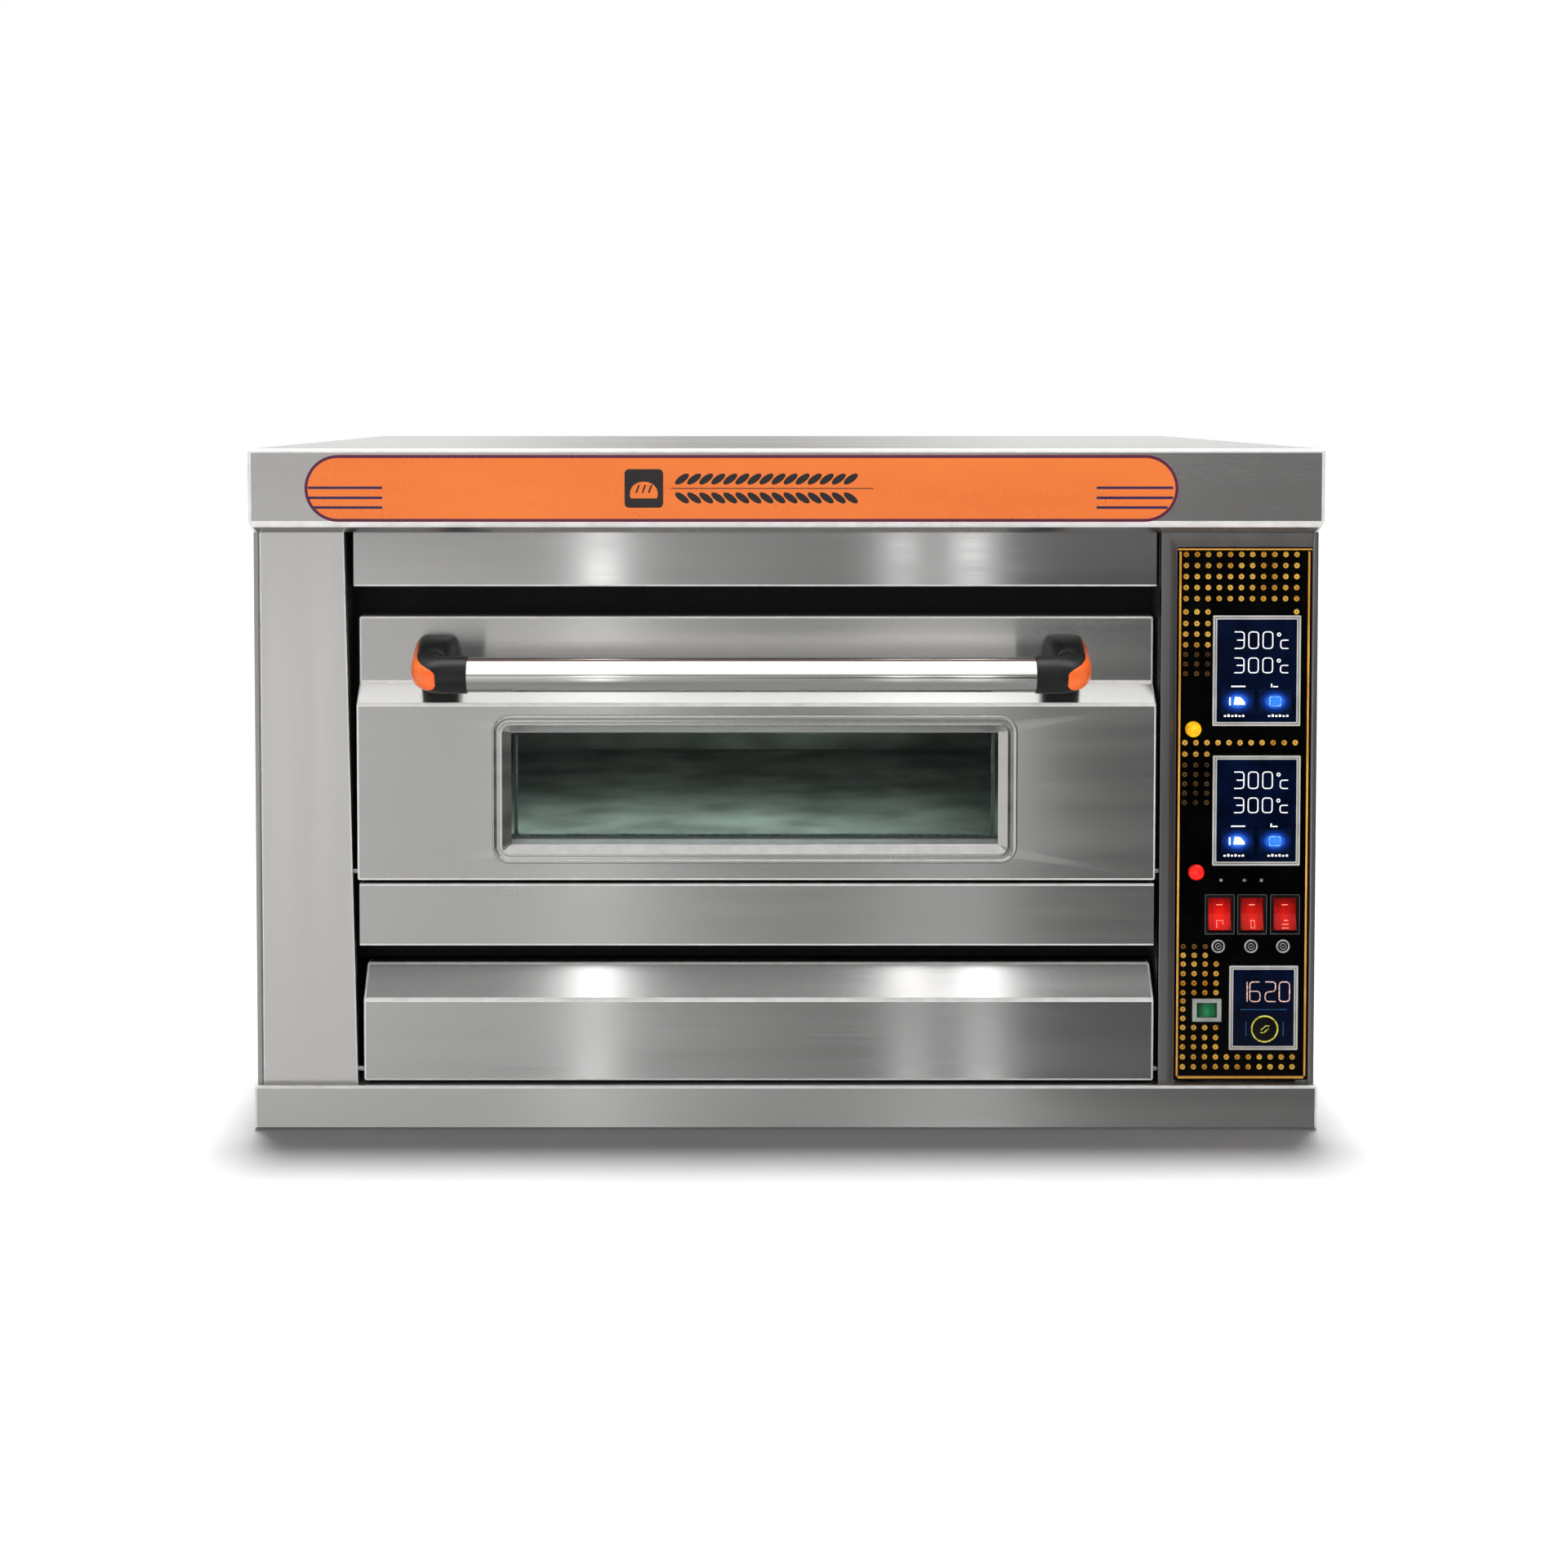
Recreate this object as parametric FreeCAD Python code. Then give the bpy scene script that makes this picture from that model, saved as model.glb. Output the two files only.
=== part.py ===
import FreeCAD, Part
import math
import os

# Deck oven: one baking chamber behind a drop-down door, gas burners under and over it, a control
# column on the right. Millimetres, +Z up, front towards -Y. Sizes below are written with Y counted
# back from the canopy's front face; every piece is moved on export so that the origin is at the
# middle of the oven's footprint, on the floor.

# ---------------------------------------------------------------- driving dimensions
width = 1200.0              # across the canopy
depth = 840.0               # canopy, front to back
sheet = 1.5                 # stainless sheet
plate_gap = 0.3             # running gap between pieces of different bodies
pin_gap = 0.05              # radial clearance of a pin in its hole
seat_gap = 0.3              # clearance of a fixed piece in its cut-out

# heights of the front, from the floor up
foot_drop = 3.0             # feet below the plinth
plinth_height = 47.0
flap_clear = 3.0            # under the flap
flap_face = 92.5
flap_slope = 35.5
vent_gap = 25.0             # air gap over the flap
strip_height = 71.0
strip_lip = 28.0            # its lower edge folded back
door_clear = 4.0            # under the door
door_face = 199.0           # main face of the door
door_ledge = 22.0           # sloping ledge over the main face
door_head = 75.0            # set-back face that carries the handle
slot_height = 34.0          # air slot over the door
fascia_height = 62.0
canopy_height = 94.0

# planes of the front, counted back from the canopy's front face
body_front = 12.0
plinth_front = 2.0
door_front = 10.0
door_head_front = 30.0
door_back = 57.0
fascia_front = 26.0
flap_top_front = 36.0
flap_back = 50.0
frame_front = 60.0          # face that the door closes on
panel_front = 14.0          # face of the control panel

# widths
canopy_overhang = 3.5       # canopy past the side panels
plinth_inset = 2.0          # plinth inside the canopy's width
bend_width = 6.5            # visible fold of each side panel on the front
left_column_top = 101.5     # left front panel, at its top
left_column_foot = 113.5    # and at its foot
control_width = 176.0
fascia_margins = (8.0, 2.5)     # left and right gaps to the opening's sides
door_margins = (13.0, 5.0)
strip_margins = (15.0, 6.0)
flap_margins = (19.0, 5.5)

# canopy
canopy_round = 6.0
canopy_return = 9.0         # height of the tapered return under the canopy
canopy_rim_gap = 0.5        # canopy's rim inside the body's outline
back_inset = 14.0           # back panel in front of the canopy's rear edge
decal_margins = (64.0, 164.0)
decal_edges = (12.5, 7.0)   # below and above the decal
decal_thick = 0.4

# feet
foot_radius = 22.0
foot_rubber = 14.0
stud_radius = 8.0
foot_inset = 60.0
post_leg = 18.0             # legs of the corner posts

# door window
window_margins = (152.0, 155.5)
window_edges = (19.0, 12.0)     # below and above the window frame
window_round = 20.0
bead_height = 3.0           # frame proud of the door
bead_width = 5.0
bead_groove = 2.0
frame_flange = 12.0
collar_inset = 9.0
frame_width = 20.0
collar_front = 14.0
groove_depth = 1.2
corner_least = 3.0          # smallest corner radius in the window
outer_glass_front = 38.0
glass_thick = 4.0
spacer_depth = 8.0
glass_inset = 10.0
spacer_width = 12.0

# handle
tube_radius = 19.0
tube_wall = 1.5
tube_forward = 80.0         # axis in front of the door's head
tube_up = 19.5              # axis above the door's ledge
handle_margins = (67.0, 79.0)   # door edge to the bracket's outer side
socket_wall = 1.5
socket_length = 44.0
bracket_base = (45.0, 48.0)     # width, height
bracket_base_up = 6.0
bracket_base_thick = 12.0
bracket_neck = (17.0, 20.0)     # under and over the tube's axis
bracket_clear = 4.0         # neck behind the socket
bracket_side = 2.0          # neck inside the base's sides
cap_length = 25.0
cap_round = 0.6             # of the socket's radius
bore_depth = 37.0
bore_gap = 0.1

# hinges
pin_radius = 3.0
pivot_back = 8.0            # pivot behind the front of the door and of the flap
door_pivot_up = 9.0
flap_pivot_up = 12.0
bush_size = (8.0, 16.0, 12.5)   # along X, Z and Y

# chamber
chamber_side_gap = (28.5, 19.0)     # insulation left and right of the liner
chamber_rear_space = 105.0  # behind the liner
chamber_floor_up = 5.5      # liner's underside above the door's lower edge
chamber_height = 207.0
deck_thick = 16.0
deck_gaps = (2.0, 5.0)      # deck to the liner's sides and back
mouth_inset = 25.0
mouth_top_inset = 14.0
gasket_width = 10.0
gasket_offset = 4.0
rear_insulation = 45.0
roof_insulation = (91.5, 40.0)      # height above the liner, thickness

# gas system
burner_radius = 16.0
burner_bore = 14.0
lower_burners = 4
upper_burners = 3
lower_burner_drop = 61.5    # burner axis under the liner
rail_size = 20.0
rail_thick = 2.0
rail_inset = 50.0           # rails behind the frame and before the liner's back
manifold_radius = 11.0
manifold_back = 20.0        # axis behind the frame's face
manifold_bore = 8.0
injector_radius = 5.0
burner_start = 40.0         # burner mouth behind the frame's face
burner_tail = 15.0          # burner past the rear rail
burner_end = 3.0            # closed end
manifold_end = (30.0, 5.0)  # manifold inside the liner's side, and its closed end
injector_reach = 4.0        # injector inside its burner
gas_x = 84.5                # gas riser, from the control partition
gas_y = 110.0
gas_z = 80.0                # inlet above the plinth
pipe_radius = 10.65         # half-inch pipe
pipe_bore = 8.0
thread = (10.35, 18.0)      # radius and length of the inlet's free end
valve_size = (50.0, 66.0, 40.0)
valve_front = 5.0           # in front of the manifold
valve_coil = (14.0, 26.0, 15.0)     # radius, length, behind the manifold's axis
elbow_size = 36.0
rear_reach = 20.0           # fittings behind the canopy

# flue
flue_radius = 38.0
flue_wall = 1.5
flue_box = (180.0, 89.0, 75.0)
flue_box_up = 6.5           # box above the liner

# rear panel
vent_size = (120.0, 7.0)
vent_pitch = 24.0
vent_count = 10
vents_up = 250.0            # lowest slot above the plinth
rear_screw = (5.0, 2.5)     # head radius and height
rear_screw_row = (-0.964, -0.486, 0.0, 0.486, 0.964)    # shares of the body's half width
rear_screw_inset = 22.0

# chamber lamp and probes
lamp_wall = 2.0
lens_size = (34.0, 6.0, 4.0)    # radius, thickness, rounding of its front edge
lamp_lengths = (68.0, 60.0)     # housing outside and its hollow
probe_length = 90.0
probe_tip = 25.0            # inside the liner
probe_head = (8.0, 14.0)    # radius, length

# electrics
ignition_box = (33.0, 70.0, 45.0)
ignition_heights = (250.0, 370.0)   # above the plinth
ignition_back = 340.0
electrode = (2.0, 38.0)     # radius, length
electrode_holder = (10.0, 12.0, 10.0)
electrode_gap = 8.0         # beside its burner
holder_back = 4.0           # behind the rail
power_box = (100.0, 120.0, 60.0)
power_box_place = (18.0, 300.0)     # from the partition, and back
terminal_block = (28.0, 80.0, 40.0)
terminal_rear = 46.0        # behind the block
terminal_up = 40.0
terminal_slots = (6, 13.0, 8.0, 6.0)    # number, pitch, width, depth
terminal_border = (6.0, 8.0)    # first slot from the end, slot from top and foot
gland_aside = 45.0          # from the gas inlet
gland_nut = (13.0, 8.0)     # radius, length
gland_dome = (11.0, 22.0)
gland_thread = (8.0, 16.0)
gland_inside = 12.0         # length in front of the back panel
gland_bore = 5.0

# control column
panel_inset = (18.2, 0.5)   # left and right of the panel
panel_edges = (3.0, 17.0)   # below and above it
pocket_floor = 15.5
pocket_edge = 16.5
housing_depth = 46.0
bezel_front = 12.2
bezel_width = 4.5
glass_front = 12.8
housing_lap = 1.0
button_gaps = (0.4, 1.0, 0.3)   # round the cap in the glass and in its well, round the stem
button_well = (5.5, 21.0)       # depth of the well and of the stem's guide
controller_size = (98.5, 124.5)
timer_size = (77.5, 96.0)
# places on the panel, from its lower left corner
controllers = ((89.5, 464.5), (90.5, 306.5))
timer = (100.5, 82.5)
button = (102.0, 58.5)
yellow_lamp = (19.0, 398.5)
red_lamp = (23.5, 236.5)
rocker_row = (50.0, 86.5, 123.5)
rocker_up = 188.5
green_switch = (36.5, 80.0)
indicator_row = (49.0, 86.0, 122.0)
indicator_up = 152.5
led_row = (51.5, 78.0, 97.0)
led_up = 227.5

# switches, lamps and button
rocker_bezel = (33.5, 45.5)
rocker_opening = (25.8, 38.6)
green_bezel = (32.5, 26.0)
green_opening = (16.8, 22.8)
green_end_gap = 1.2
switch_wall = 1.2
switch_lap = 1.5            # housing round the opening
rocker_gap = 0.4            # rocker to its opening's sides
rocker_end_gap = 1.4        # and to its ends
rocker_back = (2.0, 3.5)    # ends and foot of the rocker's back, about the pivot
switch_front = 11.5
switch_depth = 32.0
switch_floor = 10.0
rocker_pivot = 20.0
rocker_tilt = 7.0
rocker_rise = 6.6           # middle of the rocker's face in front of its pivot
trunnion_radius = 1.5
button_radius = 13.0
button_front = 11.6
button_cap = 3.9
button_stem = (4.0, 14.5)
button_travel = 1.5
lamp_radius = 9.0
lamp_height = 6.5
lamp_stem = (6.0, 26.0)
lamp_rim = 1.5              # straight edge under the lamp's dome
indicator_ring = (7.9, 5.2)
indicator_height = 2.0
indicator_lens = (5.0, 0.5, 12.0)   # radius, in front of its ring, behind the panel's face
led_lens = (1.0, 6.0)       # in front of and behind the panel's face
led_radius = 2.5

# ---------------------------------------------------------------- derived places
plinth_top = foot_drop + plinth_height
flap_bottom = plinth_top + flap_clear
flap_bend = flap_bottom + flap_face
flap_top = flap_bend + flap_slope
strip_bottom = flap_top + vent_gap
strip_top = strip_bottom + strip_height
door_bottom = strip_top + door_clear
door_bend = door_bottom + door_face
door_shelf = door_bend + door_ledge
door_top = door_shelf + door_head
fascia_bottom = door_top + slot_height
body_top = fascia_bottom + fascia_height
canopy_top = body_top + canopy_height

half_width = width / 2
body_half = half_width - canopy_overhang
left_edge = -body_half + left_column_top
right_edge = body_half - control_width
body_back = depth - back_inset
opening = (left_edge, right_edge)
rear_end = depth + rear_reach
tube_y = door_head_front - tube_forward
tube_z = door_shelf + tube_up
front_end = tube_y - tube_radius - socket_wall
y_shift = -(front_end + rear_end) / 2

liner_left = left_edge + chamber_side_gap[0]
liner_right = right_edge - chamber_side_gap[1]
liner_back = depth - chamber_rear_space
liner_bottom = door_bottom + chamber_floor_up
liner_top = liner_bottom + chamber_height
frame_back = frame_front + sheet
deck_top = liner_bottom + sheet + deck_thick
mouth = (liner_left + mouth_inset, liner_right - mouth_inset, deck_top, liner_top - mouth_top_inset)
lower_axis = liner_bottom - lower_burner_drop
upper_axis = liner_top + rail_size + burner_radius
rail_front = frame_back + rail_inset
rail_rear = liner_back - rail_inset - rail_size
manifold_y = frame_front + manifold_back
riser_x = right_edge + gas_x
inlet_z = plinth_top + gas_z
chamber_middle = (liner_left + liner_right) / 2
flue_z = liner_top + flue_box_up + flue_box[2] / 2
door_pivot = (door_front + pivot_back, door_bottom + door_pivot_up)
flap_pivot = (door_front + pivot_back, flap_bottom + flap_pivot_up)
panel_left = right_edge + panel_inset[0]
panel_right = body_half - bend_width - panel_inset[1]
panel_bottom = plinth_top + panel_edges[0]
panel_top = body_top - panel_edges[1]
lamp_place = (200.0, liner_bottom + 113.0)
lamp_body_radius = 30.0
probe_radius = 3.0
probe_places = ((300.0, liner_top - 38.0), (300.0, deck_top + 26.0))

Vector = FreeCAD.Vector
ALONG_X = Vector(1, 0, 0)
ALONG_Y = Vector(0, 1, 0)
ALONG_Z = Vector(0, 0, 1)


# ---------------------------------------------------------------- shapes
def box(x, y, z):
    """A block between two values on each axis."""
    size = (x[1] - x[0], y[1] - y[0], z[1] - z[0])
    return Part.makeBox(*size, Vector(x[0], y[0], z[0]))


def rod(radius, start, direction, length):
    return Part.makeCylinder(radius, length, Vector(*start), direction)


def ring(outer, inner, start, direction, length):
    return rod(outer, start, direction, length).cut(rod(inner, start, direction, length))


def prism_x(points, x):
    """A profile of (y, z) points, drawn out between two x values."""
    wire = Part.makePolygon([Vector(x[0], y, z) for y, z in points + points[:1]])
    return Part.Face(wire).extrude(Vector(x[1] - x[0], 0, 0))


def prism_y(points, y):
    """A profile of (x, z) points, drawn out between two y values."""
    wire = Part.makePolygon([Vector(x, y[0], z) for x, z in points + points[:1]])
    return Part.Face(wire).extrude(Vector(0, y[1] - y[0], 0))


def tray(solid, open_towards, thickness=sheet):
    """The solid as folded sheet, open on the side that faces the given direction."""
    face = max(solid.Faces, key=lambda f: f.CenterOfMass.dot(open_towards))
    return solid.makeThickness([face], -thickness, 1e-3)


def rounded_block(x, y, z, radius):
    """A block with its four edges along Y rounded."""
    block = box(x, y, z)
    edges = [e for e in block.Edges if abs(e.tangentAt(e.FirstParameter).y) > 0.99]
    return block.makeFillet(radius, edges)


def inset_block(frame, inset, y):
    """The window's outline, taken in by an amount, as a block between two y values."""
    x = (frame[0] + inset, frame[1] - inset)
    z = (frame[2] + inset, frame[3] - inset)
    return rounded_block(x, y, z, max(window_round - inset, corner_least))


def cut_all(solid, tools):
    for tool in tools:
        solid = solid.cut(tool)
    return solid


def join(pieces):
    return pieces[0].multiFuse(pieces[1:]).removeSplitter()


def save(name, *pieces):
    """Write one node: each piece stays a solid of its own."""
    solids = []
    for piece in pieces:
        solids.extend(piece.Solids)
    for solid in solids:
        if not solid.isValid() or solid.Volume <= 0:
            raise ValueError(name + " has a broken solid")
    group = solids[0] if len(solids) == 1 else Part.makeCompound(solids)
    group = group.translated(Vector(0, y_shift, 0))
    group.exportStep(os.path.join("parts", name + ".step"))


# ---------------------------------------------------------------- base, feet and frame
def make_base():
    half = half_width - plinth_inset
    block = box((-half, half), (plinth_front, depth - plinth_inset), (foot_drop, plinth_top))
    save("base_plinth", tray(block, -ALONG_Z))
    feet = []
    for x in (-half + foot_inset, half - foot_inset):
        for y in (plinth_front + foot_inset, depth - plinth_inset - foot_inset):
            rubber = rod(foot_radius, (x, y, 0), ALONG_Z, foot_rubber)
            stud = rod(stud_radius, (x, y, 0), ALONG_Z, plinth_top - sheet)
            feet.append(join([rubber, stud]))
    save("feet", *feet)


def angle_profile(a, b, thick):
    """An L section from (0, 0), its legs towards a and b."""
    sa = math.copysign(thick, a)
    sb = math.copysign(thick, b)
    return [(0, 0), (a, 0), (a, sb), (sa, sb), (sa, b), (0, b)]


def make_frame():
    posts, rails = [], []
    inner = body_half - sheet
    for x in (-1, 1):
        for y, towards in ((body_front + sheet, 1), (body_back, -1)):
            if x > 0 and towards > 0:
                y = pocket_floor + sheet
            points = angle_profile(-x * post_leg, towards * post_leg, rail_thick)
            corners = [Vector(x * inner + px, y + py, plinth_top) for px, py in points]
            face = Part.Face(Part.makePolygon(corners + corners[:1]))
            posts.append(face.extrude(Vector(0, 0, body_top - plinth_top)))
    for top in (lower_axis - burner_radius, liner_bottom, liner_top + rail_size):
        for y in (rail_front, rail_rear):
            points = angle_profile(rail_size, -rail_size, rail_thick)
            rails.append(prism_x([(y + py, top + pz) for py, pz in points], opening))
    save("frame_members", *posts, *rails)


# ---------------------------------------------------------------- outer panels
def make_side_panels():
    z = (plinth_top, body_top)
    for name, side in (("left_side_panel", -1), ("right_side_panel", 1)):
        outer = side * body_half
        inner = outer - side * sheet
        fold = outer - side * bend_width
        wall = box(sorted((outer, inner)), (body_front, body_back + sheet), z)
        lip = box(sorted((inner, fold)), (body_front, body_front + sheet), z)
        save(name, join([wall, lip]))
    left = -body_half + bend_width
    foot = -body_half + left_column_foot
    outline = [(left, plinth_top), (foot, plinth_top), (left_edge, body_top), (left, body_top)]
    save("left_front_panel", prism_y(outline, (body_front, body_front + sheet)))


def vent_slots():
    """Cooling slots of the control compartment, in the back panel."""
    middle = (right_edge + body_half) / 2
    x = (middle - vent_size[0] / 2, middle + vent_size[0] / 2)
    slots = []
    for step in range(vent_count):
        z = plinth_top + vents_up + step * vent_pitch
        slots.append(box(x, (body_back, body_back + sheet), (z, z + vent_size[1])))
    return slots


def make_back_panel():
    x = (-body_half + sheet, body_half - sheet)
    back = box(x, (body_back, body_back + sheet), (plinth_top, body_top))
    holes = [
        rod(flue_radius + seat_gap, (chamber_middle, body_back, flue_z), ALONG_Y, sheet),
        rod(pipe_radius + seat_gap, (riser_x, body_back, inlet_z), ALONG_Y, sheet),
        rod(gland_thread[0] + seat_gap, (riser_x + gland_aside, body_back, inlet_z), ALONG_Y, sheet),
    ]
    save("back_panel", cut_all(back, holes + vent_slots()))
    heads = []
    for share in rear_screw_row:
        for z in (plinth_top + rear_screw_inset, body_top - rear_screw_inset):
            place = (share * body_half, body_back + sheet, z)
            heads.append(rod(rear_screw[0], place, ALONG_Y, rear_screw[1]))
    save("rear_screws", *heads)


def rectangle(x, y, z):
    corners = [(x[0], y[0]), (x[1], y[0]), (x[1], y[1]), (x[0], y[1]), (x[0], y[0])]
    return Part.makePolygon([Vector(px, py, z) for px, py in corners])


def lid(wall, rim):
    """The canopy's outline, taken in by the wall; its lower rim is taken in by rim."""
    bend = body_top + canopy_return
    x = (-half_width + wall, half_width - wall)
    y = (wall, depth - wall)
    top = canopy_top - wall
    upper = box(x, y, (bend, top))
    edges = [e for e in upper.Edges if e.BoundBox.ZMin > top - 0.01]
    upper = upper.makeFillet(canopy_round - wall, edges)
    rim_x = (-body_half + rim, body_half - rim)
    rim_y = (body_front + rim, body_back + sheet - rim)
    lower = Part.makeLoft([rectangle(rim_x, rim_y, body_top), rectangle(x, y, bend)], True, True)
    return join([upper, lower])


def make_canopy():
    save("canopy", lid(0, 0).cut(lid(sheet, sheet + canopy_rim_gap)))
    x = (-half_width + decal_margins[0], half_width - decal_margins[1])
    z = (body_top + decal_edges[0], canopy_top - decal_edges[1])
    radius = (z[1] - z[0]) / 2 - 0.01
    save("decal_band", rounded_block(x, (-decal_thick, 0), z, radius))


def span(margins):
    return (left_edge + margins[0], right_edge - margins[1])


def make_fascia():
    z = (fascia_bottom, body_top)
    face = box(span(fascia_margins), (fascia_front, fascia_front + sheet), z)
    lip_z = (fascia_bottom, fascia_bottom + sheet)
    lip = box(span(fascia_margins), (fascia_front, frame_front), lip_z)
    save("fascia_panel", join([face, lip]))
    x = span(strip_margins)
    face = box(x, (body_front, body_front + sheet), (strip_bottom, strip_top))
    top = box(x, (body_front, frame_front), (strip_top - sheet, strip_top))
    foot = box(x, (body_front, body_front + strip_lip), (strip_bottom, strip_bottom + sheet))
    save("lower_front_strip", join([face, top, foot]))


# ---------------------------------------------------------------- chamber
def side_passages(radius_gap, x):
    """Holes for what passes between the control compartment and the oven."""
    length = x[1] - x[0]
    tools = [rod(lamp_body_radius + radius_gap, (x[0], *lamp_place), ALONG_X, length)]
    for place in probe_places:
        tools.append(rod(probe_radius + radius_gap, (x[0], *place), ALONG_X, length))
    return tools


def hinge_holes(x, radius):
    places = (door_pivot, flap_pivot)
    return [rod(radius, (x[0], *place), ALONG_X, x[1] - x[0]) for place in places]


def make_partitions():
    y = (body_front + sheet, body_back)
    z = (plinth_top, body_top)
    left_x = (left_edge - sheet, left_edge)
    right_x = (right_edge, right_edge + sheet)
    left = cut_all(box(left_x, y, z), hinge_holes(left_x, pin_radius + pin_gap))
    pipes = []
    for axis in (lower_axis, upper_axis):
        start = (right_x[0], manifold_y, axis)
        pipes.append(rod(manifold_radius + seat_gap, start, ALONG_X, sheet))
    holes = hinge_holes(right_x, pin_radius + pin_gap) + pipes + side_passages(seat_gap, right_x)
    right = cut_all(box(right_x, y, z), holes)
    save("partition_walls", left, right)
    bushes = []
    long, tall, thick = bush_size
    for x in ((left_x[0] - long, left_x[0]), (right_x[1], right_x[1] + long)):
        for place in (door_pivot, flap_pivot):
            y = (body_front + sheet, body_front + sheet + thick)
            block = box(x, y, (place[1] - tall / 2, place[1] + tall / 2))
            bore = rod(pin_radius + pin_gap, (x[0], *place), ALONG_X, long)
            bushes.append(block.cut(bore))
    save("hinge_bushes", *bushes)


def make_chamber():
    frame = box(opening, (frame_front, frame_back), (flap_top, body_top))
    hole = box(mouth[:2], (frame_front, frame_back), mouth[2:])
    save("chamber_front_frame", frame.cut(hole))
    x = (liner_left, liner_right)
    z = (liner_bottom, liner_top)
    liner = tray(box(x, (frame_back, liner_back), z), -ALONG_Y)
    port = (liner_right - sheet - 1, *lamp_place)
    probes = side_passages(seat_gap, (liner_right - sheet - 1, liner_right + 1))[1:]
    light = rod(lamp_body_radius - lamp_wall, port, ALONG_X, sheet + 2)
    save("chamber_liner", cut_all(liner, [light] + probes))
    deck_x = (liner_left + sheet + deck_gaps[0], liner_right - sheet - deck_gaps[0])
    deck_z = (liner_bottom + sheet, deck_top)
    save("deck_plate", box(deck_x, (frame_back, liner_back - sheet - deck_gaps[1]), deck_z))
    outer_x = (mouth[0] - gasket_offset - gasket_width, mouth[1] + gasket_offset + gasket_width)
    outer_z = (mouth[2] - gasket_offset - gasket_width, mouth[3] + gasket_offset + gasket_width)
    inner_x = (mouth[0] - gasket_offset, mouth[1] + gasket_offset)
    inner_z = (mouth[2] - gasket_offset, mouth[3] + gasket_offset)
    y = (door_back, frame_front - plate_gap)
    save("door_gasket", box(outer_x, y, outer_z).cut(box(inner_x, y, inner_z)))


def make_insulation():
    y = (frame_back, liner_back)
    z = (liner_bottom, liner_top)
    right_x = (liner_right, right_edge)
    roof = liner_top + roof_insulation[0]
    save(
        "chamber_insulation",
        box((left_edge, liner_left), y, z),
        cut_all(box(right_x, y, z), side_passages(seat_gap, right_x)),
        box((liner_left, liner_right), (liner_back, liner_back + rear_insulation), z),
        box(opening, y, (roof, roof + roof_insulation[1])),
    )


def make_chamber_fittings():
    radius, thick, rounding = lens_size
    face = liner_right - sheet - thick
    lens = rod(radius, (face, *lamp_place), ALONG_X, thick)
    front = [e for e in lens.Edges if e.BoundBox.XMax < face + 0.1]
    save("chamber_lamp_lens", lens.makeFillet(rounding, front))
    housing = rod(lamp_body_radius, (liner_right, *lamp_place), ALONG_X, lamp_lengths[0])
    hollow = rod(lamp_body_radius - lamp_wall, (liner_right, *lamp_place), ALONG_X, lamp_lengths[1])
    save("chamber_lamp_housing", housing.cut(hollow))
    probes = []
    for place in probe_places:
        tip = rod(probe_radius, (liner_right - sheet - probe_tip, *place), ALONG_X, probe_length)
        head = rod(probe_head[0], (right_edge + sheet, *place), ALONG_X, probe_head[1])
        probes.append(join([tip, head]))
    save("thermocouples", *probes)


# ---------------------------------------------------------------- gas system and flue
def burner_places(count):
    pitch = (liner_right - liner_left) / count
    return [liner_left + pitch * (step + 0.5) for step in range(count)]


def make_burners():
    start = frame_front + burner_start
    length = rail_rear + rail_size + burner_tail - start
    rows = (("lower_burners", lower_burners, lower_axis), ("upper_burners", upper_burners, upper_axis))
    manifolds = []
    for name, count, axis in rows:
        tubes = []
        end_x = riser_x - valve_size[0] / 2
        pipe_start = (liner_left + manifold_end[0], manifold_y, axis)
        pipe = rod(manifold_radius, pipe_start, ALONG_X, end_x - pipe_start[0])
        bore_start = (pipe_start[0] + manifold_end[1], manifold_y, axis)
        bore = rod(manifold_bore, bore_start, ALONG_X, end_x - bore_start[0])
        stubs = []
        for x in burner_places(count):
            tube = rod(burner_radius, (x, start, axis), ALONG_Y, length)
            tubes.append(tube.cut(rod(burner_bore, (x, start, axis), ALONG_Y, length - burner_end)))
            reach = burner_start - manifold_back + injector_reach
            stubs.append(rod(injector_radius, (x, manifold_y, axis), ALONG_Y, reach))
        save(name, *tubes)
        manifolds.append(join([pipe] + stubs).cut(bore))
    return manifolds


def make_gas_supply(manifolds):
    elbow_x = (riser_x - elbow_size / 2, riser_x + elbow_size / 2)
    elbow_y = (gas_y - elbow_size / 2, gas_y + elbow_size / 2)
    elbow_z = (inlet_z - elbow_size / 2, inlet_z + elbow_size / 2)
    elbow = box(elbow_x, elbow_y, elbow_z)
    inlet = rod(pipe_radius, (riser_x, gas_y, inlet_z), ALONG_Y, rear_end - thread[1] - gas_y)
    free_end = rod(thread[0], (riser_x, rear_end - thread[1], inlet_z), ALONG_Y, thread[1])
    bore = rod(pipe_bore, (riser_x, gas_y, inlet_z), ALONG_Y, rear_end - gas_y)
    half = valve_size[2] / 2
    lower_run = lower_axis - half - inlet_z
    riser = rod(pipe_radius, (riser_x, gas_y, inlet_z), ALONG_Z, lower_run)
    upper_start = lower_axis + half
    upper_run = upper_axis - half - upper_start
    link = rod(pipe_radius, (riser_x, gas_y, upper_start), ALONG_Z, upper_run)
    save("gas_pipes", join([elbow, inlet, free_end, riser]).cut(bore), link, *manifolds)
    valves = []
    for axis in (lower_axis, upper_axis):
        x = (riser_x - valve_size[0] / 2, riser_x + valve_size[0] / 2)
        front = manifold_y - manifold_radius - valve_front
        body = box(x, (front, front + valve_size[1]), (axis - half, axis + half))
        radius, length, back = valve_coil
        coil = rod(radius, (x[1], manifold_y + back, axis), ALONG_X, length)
        valves.append(join([body, coil]))
    save("solenoid_valves", *valves)


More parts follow.
